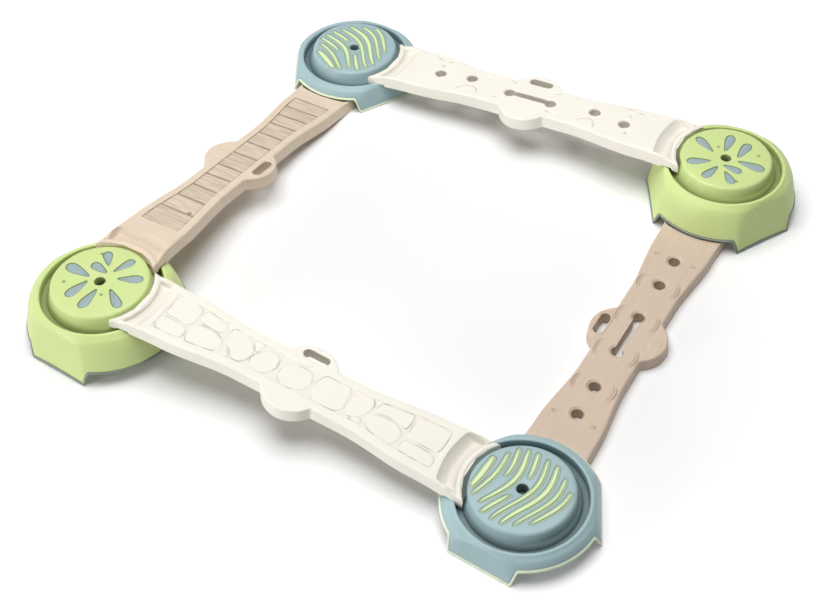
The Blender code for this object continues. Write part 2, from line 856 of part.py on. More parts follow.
def add_cutter(name, mesh, frame, cutters):
    made = as_cutter(put_object(name, mesh, cutters))
    made.matrix_world = frame
    return made


def build_bridge(name, first, second, heights, kinds, style, course, cutters, paint):
    """One bridge: deck and its pair of rest pads.
    heights are the deck heights at the two seats, kinds say high or low for each end."""
    first = Vector(first)
    second = Vector(second)
    run = (second - first).length
    arch_seat = low_foot_radius - low_end_seat_depth
    seats = [seat_radius() if kind == "high" else arch_seat for kind in kinds]
    slope = (heights[1] - heights[0]) / (run - seats[0] - seats[1])
    angle = math.atan(slope)
    start_height = heights[0] - slope * seats[0]
    length = run / math.cos(angle)
    heading = math.atan2(second.y - first.y, second.x - first.x)
    frame = Matrix.Translation((first.x, first.y, start_height))
    frame = frame @ Matrix.Rotation(heading, 4, "Z") @ Matrix.Rotation(-angle, 4, "Y")

    outline = deck_outline(length)
    body = prism([outline], -deck_depth, 0.0, name + "_deck", deck_wall_draft, deck_edge_round)
    deck = put_object(name + "_deck", body, course, paint[style["colour"]])
    deck.matrix_world = frame

    roof = deck_wall + panel_depth if style["relief"] else deck_wall
    room = prism([offset_outline(outline, -deck_wall)], -1.4 * deck_depth, -roof, name + "_room")
    hollow = add_cutter(name + "_room", room, frame, cutters)
    for far in (False, True):
        backing_name = name + ("_backing_far" if far else "_backing_near")
        backing = as_cutter(put_object(backing_name, backing_mesh(backing_name), cutters))
        place_end(backing, frame, length, far)
        boolean(hollow, "DIFFERENCE", backing)
    holes = bridge_holes(length, style)
    collars = prism([offset_outline(hole, hole_collar_wall) for hole in holes],
                    -hole_collar_depth, 0.0, name + "_hole_collars")
    boolean(hollow, "DIFFERENCE", add_cutter(name + "_hole_collars", collars, frame, cutters))
    boolean(deck, "DIFFERENCE", hollow)

    for far in (False, True):
        tag = "_far" if far else "_near"
        scoop = build_scoop(name + "_scoop" + tag, frame, length, far, cutters)
        boolean(deck, "DIFFERENCE", scoop)
        lip = as_cutter(turned(name + "_lip" + tag, lip_cutter_profile(), cutters))
        place_end(lip, frame, length, far)
        boolean(deck, "DIFFERENCE", lip)
        notch_inner = groove_outer_radius - rim_notch_inside
        notch_outer = rim_outer_radius + rim_notch_outside
        notch_top = seat_gap if kinds[far] == "high" else -deck_rise - rim_drop
        notch_foot = notch_top - 2 * deck_depth
        notch = turned(name + "_notch" + tag,
                       [(notch_inner, notch_foot), (notch_inner, notch_top),
                        (notch_outer, notch_top), (notch_outer, notch_foot)],
                       cutters)
        if kinds[far] == "high":
            axis = second if far else first
            hub_height = heights[far] - deck_rise - rim_drop
            notch.matrix_world = Matrix.Translation((axis.x, axis.y, hub_height))
        else:
            place_end(notch, frame, length, far)
        boolean(deck, "DIFFERENCE", as_cutter(notch))

    raised = ear_reliefs(length, style)
    for i, (ear_outline, height) in enumerate(raised):
        boss = prism([ear_outline], -deck_wall / 2, height, f"{name}_ear_relief_{i}")
        boolean(deck, "UNION", add_cutter(f"{name}_ear_relief_{i}", boss, frame, cutters))
    cut = prism(holes, -deck_depth, 2 * ear_rim_height, name + "_holes", -hole_taper)
    boolean(deck, "DIFFERENCE", add_cutter(name + "_holes", cut, frame, cutters))
    if style["dish"]:
        round_holes = holes[:-1]
        dishes = prism([offset_outline(hole, style["dish"]) for hole in round_holes],
                       -hole_dish_depth, fit_gap, name + "_dishes", -style["dish"] - hole_taper)
        boolean(deck, "DIFFERENCE", add_cutter(name + "_dishes", dishes, frame, cutters))
    if style["relief"]:
        start, pieces = style["relief"]
        recess = prism([panel_outline(length, start)], -panel_depth, 2 * deck_edge_round, name + "_panel")
        panel = add_cutter(name + "_panel", recess, frame, cutters)
        tops = prism(pieces(length, start), -2 * panel_depth, -relief_top_inset, name + "_relief")
        boolean(panel, "DIFFERENCE", add_cutter(name + "_relief", tops, frame, cutters))
        boolean(deck, "DIFFERENCE", panel)
    if "low" in kinds:
        bpy.ops.mesh.primitive_cube_add(size=1.0, location=(0, 0, -deck_depth))
        floor = bpy.context.object
        floor.name = name + "_floor"
        floor.scale = (2 * hub_spacing, 2 * hub_spacing, 2 * deck_depth)
        for group in list(floor.users_collection):
            group.objects.unlink(floor)
        cutters.objects.link(floor)
        boolean(deck, "DIFFERENCE", as_cutter(floor))

    merge_flat_faces(deck)

    for far in (False, True):
        pad_name = name + ("_end_pad" if far else "_start_pad")
        pad = put_object(pad_name, pad_mesh(pad_name), course, paint["pad"])
        place_end(pad, frame, length, far)


def bridge_holes(length, style):
    """The log bridges have four round holes and a long slot. Every bridge has a slot in one ear."""
    half = length / 2
    outlines = []
    if style["log"]:
        for distance, shift in ((outer_hole_distance, 0.0), (inner_hole_distance, style["shift"])):
            outlines.append(circle_outline(distance, shift, round_hole_radius))
            outlines.append(circle_outline(length - distance, shift, round_hole_radius))
        outlines.append(bone_outline(half, 0, centre_slot_length, centre_slot_end_radius, centre_slot_neck))
    slot_v = style["slot_side"] * ear_slot_offset
    outlines.append(stadium_outline(half, slot_v, ear_slot_length, ear_slot_width))
    return outlines


def ear_reliefs(length, style):
    """Raised oval round an ear's slot and a raised button on the other ear, with their heights."""
    half = length / 2
    side = style["slot_side"] * ear_slot_offset
    pieces = []
    if style["ear_rim"]:
        pieces.append((stadium_outline(half, side, ear_slot_length + 2 * ear_rim_width,
                                       ear_slot_width + 2 * ear_rim_width), ear_rim_height))
    if style["ear_button"]:
        pieces.append((circle_outline(half, -side, ear_button_radius, 2 * hole_steps), ear_button_height))
    return pieces


def build_course():
    clear_scene()
    course = new_collection("play_obstacle_course")
    cutters = new_collection("cutters")
    paint = {
        "green": new_material("green_plastic", green, 0.45),
        "blue": new_material("blue_plastic", blue, 0.45),
        "grey_blue": new_material("grey_blue_grip", grey_blue, 0.55),
        "lime": new_material("lime_grip", lime, 0.55),
        "ivory": new_material("ivory_plastic", ivory, 0.5),
        "beige": new_material("beige_plastic", beige, 0.5),
        "pad": new_material("dark_rubber", dark_grey, 0.7),
        "ring": new_material("dark_plastic", dark_grey, 0.5),
    }
    half = hub_spacing / 2
    left = (-half, -half, 0)
    front = (half, -half, 0)
    right = (half, half, 0)
    back = (-half, half, 0)

    build_hub("left_hub", left, math.radians(26), True, course, cutters, paint)
    build_hub("front_hub", front, math.radians(26), False, course, cutters, paint)
    build_hub("right_hub", right, math.radians(210), True, course, cutters, paint)
    build_hub("back_hub", back, math.radians(90), False, course, cutters, paint)

    tall_seat = tall_hub_height + deck_rise
    low_seat = low_hub_height + deck_rise
    under_arch = arch_height - low_end_arch_gap
    slip_x, slip_y = loose_bridge_slip
    build_bridge("front_bridge", left, front, (tall_seat, low_seat), ("high", "high"),
                 {"colour": "ivory", "relief": (stone_panel_start, stone_outlines), "log": False, "dish": 0,
                  "slot_side": 1, "ear_rim": False, "ear_button": False},
                 course, cutters, paint)
    build_bridge("left_bridge", left, back, (tall_seat, under_arch), ("high", "low"),
                 {"colour": "beige", "relief": (plank_panel_start, plank_outlines), "log": False, "dish": 0,
                  "slot_side": -1, "ear_rim": True, "ear_button": False},
                 course, cutters, paint)
    build_bridge("back_bridge", back, right, (low_seat, tall_seat), ("high", "high"),
                 {"colour": "ivory", "relief": None, "log": True, "dish": narrow_dish,
                  "shift": inner_hole_shift, "slot_side": 1, "ear_rim": False, "ear_button": False},
                 course, cutters, paint)
    build_bridge("right_bridge", (half + slip_x, slip_y - half, 0), (half + slip_x, slip_y + half, 0),
                 (deck_depth, deck_depth), ("low", "low"),
                 {"colour": "beige", "relief": None, "log": True, "dish": wide_dish,
                  "shift": 0.0, "slot_side": 1, "ear_rim": True, "ear_button": True},
                 course, cutters, paint)

    left_arm = joint_axis("left_arm_axis", left, ("left_bridge", "back_hub"), course)
    back_link = joint_axis("back_bridge_axis", back, ("back_bridge",), course)
    hang_on(back_link, left_arm)
    joint_axis("right_arm_axis", front, ("front_hub", "right_bridge", "right_hub"), course)
    joint_axis("front_bridge_lift", left, ("front_bridge",), course)


def hang_on(item, carrier):
    item.parent = carrier
    item.matrix_parent_inverse = carrier.matrix_world.inverted()


def joint_axis(name, spot, carried, course):
    """An empty on a joint's axis, which carries the pieces that move with it."""
    made = bpy.data.objects.new(name, None)
    course.objects.link(made)
    made.location = spot
    bpy.context.view_layer.update()
    for item in list(course.objects):
        if item.type == "MESH" and item.name.startswith(carried):
            hang_on(item, made)
    return made


build_course()
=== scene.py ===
# Looks of the play obstacle course: hubs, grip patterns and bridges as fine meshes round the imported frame.

import math

import bmesh
import bpy
from mathutils import Matrix, Vector, noise


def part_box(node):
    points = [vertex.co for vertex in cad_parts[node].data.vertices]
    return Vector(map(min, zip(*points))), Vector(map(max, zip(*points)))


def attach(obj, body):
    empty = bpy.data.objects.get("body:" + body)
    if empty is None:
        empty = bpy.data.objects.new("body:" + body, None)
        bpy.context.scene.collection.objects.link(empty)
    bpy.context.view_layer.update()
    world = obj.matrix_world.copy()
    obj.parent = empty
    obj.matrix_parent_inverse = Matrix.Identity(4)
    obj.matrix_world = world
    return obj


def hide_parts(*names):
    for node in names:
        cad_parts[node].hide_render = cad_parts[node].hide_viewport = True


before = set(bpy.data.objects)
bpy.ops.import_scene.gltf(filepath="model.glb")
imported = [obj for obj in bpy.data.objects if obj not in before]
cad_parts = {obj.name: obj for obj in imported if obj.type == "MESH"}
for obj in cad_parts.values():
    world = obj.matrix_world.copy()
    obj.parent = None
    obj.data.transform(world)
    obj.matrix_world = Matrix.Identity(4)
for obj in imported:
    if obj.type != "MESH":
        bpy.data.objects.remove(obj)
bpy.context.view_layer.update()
print("frame loaded:", len(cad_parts), "nodes")

hubNames = ("left_hub", "front_hub", "right_hub", "back_hub")
tallHubs = ("left_hub", "right_hub")
hubBodies = {"left_hub": "left_hub", "front_hub": "right_arm", "right_hub": "right_arm",
             "back_hub": "left_arm"}
hubTurns = {"left_hub": 26, "front_hub": 26, "right_hub": 210, "back_hub": 90}   # degrees


def centreOf(node):
    low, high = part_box(node)
    return (Vector(low) + Vector(high)) / 2


hubAxes = {}
hubHeights = {}
for hubName in hubNames:
    middle = centreOf(hubName + "_retaining_ring")
    hubAxes[hubName] = Vector((middle.x, middle.y, 0))
    hubHeights[hubName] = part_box(hubName + "_shell")[1][2]


# small maths and mesh helpers

def clamp(value, low=0.0, high=1.0):
    return min(high, max(low, value))


def ease(value):
    value = clamp(value)
    return value * value * (3 - 2 * value)


def softMax(first, second, blend):
    near = max(blend - abs(first - second), 0.0) / blend
    return max(first, second) + near * near * blend / 4


def polar(radius, angle):
    return radius * math.cos(angle), radius * math.sin(angle)


def filleted(corners, steps=5):
    # corners are x, y, radius round a closed outline
    points = []
    for i, (x, y, radius) in enumerate(corners):
        here = Vector((x, y))
        before = Vector(corners[i - 1][:2]) - here
        after = Vector(corners[(i + 1) % len(corners)][:2]) - here
        if radius <= 0:
            points.append((x, y))
            continue
        half = before.angle(after) / 2
        reach = min(radius / math.tan(half), before.length * 0.49, after.length * 0.49)
        radius = reach * math.tan(half)
        middle = here + (before.normalized() + after.normalized()).normalized() * radius / math.sin(half)
        first = here + before.normalized() * reach - middle
        last = here + after.normalized() * reach - middle
        start = math.atan2(first.y, first.x)
        turn = math.remainder(math.atan2(last.y, last.x) - start, math.tau)
        for step in range(steps + 1):
            angle = start + turn * step / steps
            points.append((middle.x + radius * math.cos(angle), middle.y + radius * math.sin(angle)))
    return points


def meshFrom(name, points, faces):
    mesh = bpy.data.meshes.new(name)
    mesh.from_pydata(points, [], faces)
    bm = bmesh.new()
    bm.from_mesh(mesh)
    bmesh.ops.recalc_face_normals(bm, faces=bm.faces)
    bm.to_mesh(mesh)
    bm.free()
    return mesh


def ringFaces(rings, perRing, closed=False):
    # quads between rings of points that each go all the way round
    faces = []
    for ring in range(rings if closed else rings - 1):
        here = ring * perRing
        ahead = (ring + 1) % rings * perRing
        for i in range(perRing):
            j = (i + 1) % perRing
            faces.append((here + i, here + j, ahead + j, ahead + i))
    return faces


def turnedMesh(name, profile, steps):
    points = [(*polar(radius, math.tau * i / steps), height)
              for radius, height in profile for i in range(steps)]
    return meshFrom(name, points, ringFaces(len(profile), steps, True))


def closedLoft(name, rings):
    # rings of points, joined one to the next; both ends are closed
    count = len(rings[0])
    points = [point for ring in rings for point in ring]
    faces = ringFaces(len(rings), count)
    faces += [tuple(range(count)), tuple(range(len(points) - count, len(points)))]
    return meshFrom(name, points, faces)


def loftedMesh(name, levels):
    # levels are outline, height pairs
    return closedLoft(name, [[(x, y, height) for x, y in outline] for outline, height in levels])


def joinedMesh(name, meshes):
    bm = bmesh.new()
    for mesh in meshes:
        bm.from_mesh(mesh)
        bpy.data.meshes.remove(mesh)
    joined = bpy.data.meshes.new(name)
    bm.to_mesh(joined)
    bm.free()
    return joined


def placed(name, mesh, place, material, sharpAngle):
    piece = bpy.data.objects.new(name, mesh)
    bpy.context.scene.collection.objects.link(piece)
    piece.matrix_world = place
    mesh.materials.clear()
    mesh.materials.append(material)
    mesh.shade_smooth()
    mesh.set_sharp_from_angle(angle=math.radians(sharpAngle))
    return piece


def cutMesh(mesh, cutter, overlapping=False):
    # takes the cutter out of the mesh and gives the cut mesh
    whole = bpy.data.objects.new("whole", mesh)
    tool = bpy.data.objects.new("tool", cutter)
    for item in (whole, tool):
        bpy.context.scene.collection.objects.link(item)
    step = whole.modifiers.new("cut", "BOOLEAN")
    step.operation = "DIFFERENCE"
    step.solver = "EXACT"
    step.object = tool
    step.use_self = overlapping
    bpy.context.view_layer.update()
    cut = bpy.data.meshes.new_from_object(whole.evaluated_get(bpy.context.evaluated_depsgraph_get()))
    for item in (whole, tool):
        bpy.data.objects.remove(item, do_unlink=True)
    return cut


def setShade(mesh, name, shadeAt):
    # a value from 0 to 1 at each point: the painted shade attribute darkens joints, grooves and holes, with
    # a tone per plank; grain shows the wood
    values = mesh.attributes.new(name, "FLOAT", "POINT")
    for vertex, value in zip(mesh.vertices, values.data):
        value.value = shadeAt(vertex.co)


def outlineMoved(outline, distance):
    # a counter-clockwise outline moved outwards
    moved = []
    for i in range(len(outline)):
        here = Vector(outline[i])
        first = (here - Vector(outline[i - 1])).normalized()
        second = (Vector(outline[(i + 1) % len(outline)]) - here).normalized()
        normal = (Vector((first.y, -first.x)) + Vector((second.y, -second.x))).normalized()
        stretch = 1 / max(0.5, normal.dot(Vector((first.y, -first.x))))
        moved.append(tuple(here + normal * distance * stretch))
    return moved


def movedLevels(outline, levels, base):
    # levels are how far out and how far above the base
    return [(outlineMoved(outline, out), base + rise) for out, rise in levels]


def circleAt(x, y, radius, steps):
    angles = [math.tau * i / steps for i in range(steps)]
    return [(x + radius * math.cos(angle), y + radius * math.sin(angle)) for angle in angles]


def smoothOutline(corners, shares=(0.25, 0.25)):
    # each round cuts every corner off at a share of its two sides
    points = [Vector(corner) for corner in corners]
    for share in shares:
        cut = []
        for i in range(len(points)):
            after = points[(i + 1) % len(points)]
            cut += [points[i].lerp(after, share), points[i].lerp(after, 1 - share)]
        points = cut
    return [tuple(point) for point in points]


def tubeMesh(name, rings):
    # rings are outline, height pairs round a tube's section, inside and outside
    points = []
    for outline, height in rings:
        points += [(x, y, height) for x, y in outline]
    return meshFrom(name, points, ringFaces(len(rings), len(rings[0][0]), True))


# materials

def shaderGroup(name, inputs, outputs):
    group = bpy.data.node_groups.new(name, "ShaderNodeTree")
    for socket, kind, value in inputs:
        made = group.interface.new_socket(socket, in_out="INPUT", socket_type=kind)
        made.default_value = value
    for socket, kind in outputs:
        group.interface.new_socket(socket, in_out="OUTPUT", socket_type=kind)
    enter = group.nodes.new("NodeGroupInput")
    leave = group.nodes.new("NodeGroupOutput")
    return group, enter, leave


def noiseNode(tree, source, scale, detail, roughness=0.5):
    made = tree.nodes.new("ShaderNodeTexNoise")
    made.inputs["Scale"].default_value = scale
    made.inputs["Detail"].default_value = detail
    made.inputs["Roughness"].default_value = roughness
    tree.links.new(source, made.inputs["Vector"])
    return made.outputs["Fac"]


def rangeNode(tree, source, fromLow, fromHigh, toLow, toHigh):
    made = tree.nodes.new("ShaderNodeMapRange")
    sockets = ("From Min", "From Max", "To Min", "To Max")
    for socket, value in zip(sockets, (fromLow, fromHigh, toLow, toHigh)):
        made.inputs[socket].default_value = value
    tree.links.new(source, made.inputs["Value"])
    return made.outputs["Result"]


def mathNode(tree, operation, first, second):
    made = tree.nodes.new("ShaderNodeMath")
    made.operation = operation
    for socket, value in zip(made.inputs, (first, second)):
        if isinstance(value, (int, float)):
            socket.default_value = value
        else:
            tree.links.new(value, socket)
    return made.outputs[0]


def mixNode(tree, factor, first, second, blend="MIX"):
    made = tree.nodes.new("ShaderNodeMix")
    made.data_type = "RGBA"
    made.blend_type = blend
    colours = made.inputs[6:8]
    for socket, value in zip((made.inputs["Factor"], *colours), (factor, first, second)):
        if isinstance(value, (int, float, tuple)):
            socket.default_value = value
        else:
            tree.links.new(value, socket)
    return made.outputs[2]


def bumpNode(tree, height, strength, distance):
    made = tree.nodes.new("ShaderNodeBump")
    made.inputs["Strength"].default_value = strength
    made.inputs["Distance"].default_value = distance
    tree.links.new(height, made.inputs["Height"])
    return made


def greyNode(tree, value):
    made = tree.nodes.new("ShaderNodeCombineColor")
    for socket in made.inputs:
        tree.links.new(value, socket)
    return made.outputs[0]


# fine moulding texture, soft blotches and painted shade from a point attribute, for every plastic
mouldSettings = {"fineScale": 1400.0, "blotchScale": 14.0, "blotchSpread": 0.035}
mouldGroup, enter, leave = shaderGroup(
    "mouldedSkin",
    (("Colour", "NodeSocketColor", (0.8, 0.8, 0.8, 1)),
     ("Painted Shade Colour", "NodeSocketColor", (0.4, 0.4, 0.4, 1)),
     ("Roughness", "NodeSocketFloat", 0.45)),
    (("Colour", "NodeSocketColor"), ("Roughness", "NodeSocketFloat"), ("Height", "NodeSocketFloat")))
place = mouldGroup.nodes.new("ShaderNodeTexCoord").outputs["Object"]
fine = noiseNode(mouldGroup, place, mouldSettings["fineScale"], 2)
blotch = noiseNode(mouldGroup, place, mouldSettings["blotchScale"], 3)
spread = mouldSettings["blotchSpread"]
shade = rangeNode(mouldGroup, blotch, 0.3, 0.7, 1 - spread, 1.0)
base = mixNode(mouldGroup, 1.0, enter.outputs["Colour"], greyNode(mouldGroup, shade), "MULTIPLY")
# painted shade: the attribute mixes the colour towards the darker shade colour in joints, grooves and holes
paintedShadeAndTone = mouldGroup.nodes.new("ShaderNodeAttribute")
paintedShadeAndTone.attribute_name = "paintedShadeAndTone"
base = mixNode(mouldGroup, paintedShadeAndTone.outputs["Fac"], base, enter.outputs["Painted Shade Colour"])
mouldGroup.links.new(base, leave.inputs["Colour"])
worn = rangeNode(mouldGroup, blotch, 0.3, 0.7, 0.92, 1.1)
rough = mathNode(mouldGroup, "MULTIPLY", enter.outputs["Roughness"], worn)
mouldGroup.links.new(rough, leave.inputs["Roughness"])
mouldGroup.links.new(fine, leave.inputs["Height"])

# wood grain that runs along one direction of the piece
grainGroup, enter, leave = shaderGroup(
    "woodGrain",
    (("Colour", "NodeSocketColor", (0.8, 0.8, 0.8, 1)), ("Stretch", "NodeSocketVector", (1, 1, 1)),
     ("Depth", "NodeSocketFloat", 0.1)),
    (("Colour", "NodeSocketColor"), ("Height", "NodeSocketFloat")))
place = grainGroup.nodes.new("ShaderNodeTexCoord").outputs["Object"]
stretched = grainGroup.nodes.new("ShaderNodeVectorMath")
stretched.operation = "MULTIPLY"
grainGroup.links.new(place, stretched.inputs[0])
grainGroup.links.new(enter.outputs["Stretch"], stretched.inputs[1])
grain = noiseNode(grainGroup, stretched.outputs[0], 1.0, 4, 0.6)
lines = rangeNode(grainGroup, grain, 0.42, 0.62, 0.0, 1.0)
dim = mathNode(grainGroup, "MULTIPLY", lines, enter.outputs["Depth"])
keep = mathNode(grainGroup, "SUBTRACT", 1.0, dim)
grained = mixNode(grainGroup, 1.0, enter.outputs["Colour"], greyNode(grainGroup, keep), "MULTIPLY")
grainGroup.links.new(grained, leave.inputs["Colour"])
grainGroup.links.new(mathNode(grainGroup, "SUBTRACT", 1.0, lines), leave.inputs["Height"])


def plastic(name, colour, paintedShadeColour, roughness, bump=0.02, grain=None):
    # bump is in millimetres; a grain's stretch is along the piece, across and up
    material = bpy.data.materials.new(name)
    material.use_nodes = True
    tree = material.node_tree
    shader = tree.nodes["Principled BSDF"]
    skin = tree.nodes.new("ShaderNodeGroup")
    skin.node_tree = mouldGroup
    skin.inputs["Colour"].default_value = colour + (1,)
    skin.inputs["Painted Shade Colour"].default_value = paintedShadeColour + (1,)
    skin.inputs["Roughness"].default_value = roughness
    shader.inputs["Specular IOR Level"].default_value = 0.4
    tree.links.new(skin.outputs["Roughness"], shader.inputs["Roughness"])
    normal = bumpNode(tree, skin.outputs["Height"], 0.3, bump * 0.001).outputs["Normal"]
    surface = skin.outputs["Colour"]
    if grain:
        wood = tree.nodes.new("ShaderNodeGroup")
        wood.node_tree = grainGroup
        wood.inputs["Stretch"].default_value = grain["stretch"]
        shown = tree.nodes.new("ShaderNodeAttribute")
        shown.attribute_name = "grain"
        depth = mathNode(tree, "MULTIPLY", shown.outputs["Fac"], grain["depth"])
        tree.links.new(depth, wood.inputs["Depth"])
        tree.links.new(surface, wood.inputs["Colour"])
        surface = wood.outputs["Colour"]
        woodBump = bumpNode(tree, wood.outputs["Height"], 0.6, grain["height"])
        tree.links.new(normal, woodBump.inputs["Normal"])
        normal = woodBump.outputs["Normal"]
    tree.links.new(surface, shader.inputs["Base Color"])
    tree.links.new(normal, shader.inputs["Normal"])
    return material


plankGrain = {"stretch": (240, 13, 13), "depth": 0.26, "height": 0.0006}
logGrain = {"stretch": (10, 190, 60), "depth": 0.05, "height": 0.0003}
ivoryGrain = {"stretch": (9, 170, 60), "depth": 0.02, "height": 0.0002}
# each plastic's second colour is the painted shade colour of its joints, grooves and holes
materials = {
    "green": plastic("greenPlastic", (0.625, 0.750, 0.300), (0.150, 0.190, 0.060), 0.42),
    "blue": plastic("bluePlastic", (0.356, 0.496, 0.522), (0.050, 0.085, 0.095), 0.42),
    "petal": plastic("greyBlueGrip", (0.330, 0.430, 0.440), (0.150, 0.200, 0.130), 0.55),
    "stripe": plastic("limeGrip", (0.760, 0.900, 0.480), (0.360, 0.470, 0.330), 0.5),
    "tallEdge": plastic("greyEdgeBand", (0.230, 0.275, 0.235), (0.12, 0.14, 0.12), 0.55),
    "lowEdge": plastic("limeEdgeBand", (0.770, 0.860, 0.640), (0.20, 0.28, 0.14), 0.5),
    "stone": plastic("ivoryStones", (0.895, 0.855, 0.760), (0.240, 0.225, 0.185), 0.5),
    "ivoryLog": plastic("ivoryLog", (0.915, 0.875, 0.780), (0.240, 0.225, 0.185), 0.5, grain=ivoryGrain),
    "plank": plastic("beigePlanks", (0.800, 0.665, 0.518), (0.220, 0.160, 0.100), 0.5, grain=plankGrain),
    # the same beige plastic as the planks, made darker as painted shade for the low log bridge
    "shadedBeigeLog": plastic("shadedBeigeLog", (0.650, 0.516, 0.403), (0.220, 0.160, 0.105), 0.5, grain=logGrain),
    "rubber": plastic("darkRubber", (0.035, 0.035, 0.035), (0.02, 0.02, 0.02), 0.75, bump=0.05),
    "ring": plastic("darkPlastic", (0.10, 0.10, 0.10), (0.05, 0.05, 0.05), 0.5),
}
print("materials made:", len(materials))


# hubs

hubShape = {
    "discRadius": 0.095, "discRound": 0.0065, "wallLean": 0.0055, "leanDrop": 0.021, "wallReach": 0.0125,
    "holeRadius": 0.0112, "tubeWall": 0.0028, "tubeDepth": 0.026, "topThickness": 0.004,
    "grooveRadius": 0.119, "grooveDepth": 0.034, "rimDrop": 0.0175, "plateRadius": 0.0885,
    "plateThick": 0.003, "plateGap": 0.0003, "plateSlack": 0.0015, "plateSink": 0.0015,
    "rimRadius": 0.129, "wall": 0.0032, "collarRadius": 0.0955, "collarGap": 0.006, "skirtDrop": 0.021,
    "swellPower": 0.45, "flatPower": 0.8, "flatHalf": math.radians(24), "claw": math.radians(5.5),
    "clawTurn": 0.55, "seam": 0.0008, "seamDrop": 0.0004,
    "clawRise": 0.98, "flatReach": 0.12, "flatBlend": (0.0012, 0.0050),
    "archHeight": 0.030, "rimHeight": 0.0045, "rimGap": 0.0010, "rimProud": 0.0016, "turnSteps": 192,
}
# each look is a material and a slot
tallShape = {"footRadius": 0.1622, "sideRise": 0.003, "shell": ("green", "green_plastic"),
             "grip": ("petal", "grey_blue_grip"), "edge": ("tallEdge", "grey_blue_grip")}
lowShape = {"footRadius": 0.1552, "sideRise": 0.0, "shell": ("blue", "blue_plastic"),
            "grip": ("stripe", "lime_grip"), "edge": ("lowEdge", "lime_grip")}


def coreProfile(height):
    s = hubShape
    floor = height - s["grooveDepth"]
    corners = [   # radius, height, rounding
        (s["holeRadius"], height - s["tubeDepth"], 0.0004),
        (s["holeRadius"], height, 0.0014),
        (s["discRadius"], height, s["discRound"]),
        (s["discRadius"] + s["wallLean"], height - s["leanDrop"], 0.030),
        (s["discRadius"] + s["wallReach"], floor, 0.002),
        (s["grooveRadius"] - 0.0006, floor, 0),
        (s["grooveRadius"] - 0.0006, floor - s["wall"], 0),
        (s["collarRadius"], floor - s["wall"], 0.001),
        (s["collarRadius"], s["collarGap"], 0.0008),
        (s["collarRadius"] - s["wall"], s["collarGap"], 0.0008),
        (s["collarRadius"] - s["wall"] - 0.0005, floor, 0),
        (s["discRadius"] - s["wall"] - 0.003, height - s["topThickness"], 0.002),
        (s["holeRadius"] + s["tubeWall"], height - s["topThickness"], 0.001),
        (s["holeRadius"] + s["tubeWall"], height - s["tubeDepth"], 0.0004),
    ]
    return filleted(corners, 4)


def footEdge(sideRise):
    # lower edge all the way round: angle from a flat side's middle, and height
    s = hubShape
    half = []
    for i in range(16):
        share = i / 16
        half.append((s["flatHalf"] * share, sideRise * (1 - share * share)))
    for i in range(15):
        share = i / 14
        rise = ease(share * s["clawRise"]) ** 0.9
        half.append((s["flatHalf"] + s["claw"] * share, s["archHeight"] * rise))
    begin = s["flatHalf"] + s["claw"]
    for i in range(1, 15):
        half.append((begin + (math.pi / 3 - begin) * i / 14, s["archHeight"]))
    third = [(-angle, height) for angle, height in reversed(half[1:-1])] + half
    return [(angle + turn * math.tau / 3, height) for turn in range(3) for angle, height in third]


def skirtRadius(angle, height, hubHeight, footRadius):
    s = hubShape
    top = hubHeight - s["skirtDrop"]
    share = clamp((top - height) / top)
    bell = s["rimRadius"] + (footRadius - s["rimRadius"]) * share ** s["swellPower"]
    flatFoot = footRadius * math.cos(s["flatHalf"])
    flat = s["rimRadius"] + (flatFoot - s["rimRadius"]) * share ** s["flatPower"]
    third = math.tau / 3
    off = (angle + third / 2) % third - third / 2
    if abs(off) > s["flatHalf"] + s["flatReach"]:
        return bell
    least, more = s["flatBlend"]
    return -softMax(-bell, -flat / math.cos(off), least + more * (1 - share))


def raisedEdge(edge, footRadius, distance):
    moved = []
    for i in range(len(edge)):
        here = edge[i]
        before = edge[i - 1]
        after = edge[(i + 1) % len(edge)]
        turn = math.remainder(after[0] - before[0], math.tau)
        run = Vector((turn * footRadius, after[1] - before[1])).normalized()
        moved.append((here[0] - run.y * distance / footRadius, here[1] + run.x * distance))
    return moved


def skirtMesh(name, height, shape):
    s = hubShape
    edge = footEdge(shape["sideRise"])
    lower = raisedEdge(edge, shape["footRadius"], s["rimHeight"] + s["rimGap"])
    top = height - s["skirtDrop"]
    floor = height - s["grooveDepth"]
    bead = filleted([   # from the groove's floor over the rim into the skirt
        (s["grooveRadius"] - s["seam"], floor - s["seamDrop"], 0),
        (s["grooveRadius"] + 0.0006, height - s["rimDrop"], 0.0038),
        (s["rimRadius"] - 0.0028, height - s["rimDrop"] - 0.0002, 0.0040),
        (s["rimRadius"] + 0.0030, height - s["rimDrop"] - 0.0080, 0),
    ], 6)[1:-1]
    rings = [[(angle, floor - s["seamDrop"], s["grooveRadius"] - s["seam"]) for angle, _ in edge]]
    for radius, level in bead:
        rings.append([(angle, level, radius) for angle, _ in edge])

    def column(i, share):
        turn = min(1.0, share / s["clawTurn"])
        angle = edge[i][0] + math.remainder(lower[i][0] - edge[i][0], math.tau) * turn
        level = top + (lower[i][1] - top) * share
        return angle, level, skirtRadius(angle, level, height, shape["footRadius"])

    shares = (0.05, 0.09, 0.14, 0.20, 0.27, 0.35, 0.45, 0.56, 0.68, 0.80, 0.90, 0.97, 1.0)
    for share in shares:
        rings.append([column(i, share) for i in range(len(edge))])
    for share in (1.0, 0.7, 0.4, 0.2, 0.1):
        inner = [column(i, share) for i in range(len(edge))]
        rings.append([(angle, level, radius - s["wall"]) for angle, level, radius in inner])
    for seam in (s["seam"], -s["seam"]):
        rings.append([(angle, floor - s["wall"], s["grooveRadius"] + seam) for angle, _ in edge])
    points = [(*polar(radius, angle), level) for ring in rings for angle, level, radius in ring]
    return meshFrom(name, points, ringFaces(len(rings), len(edge), True))


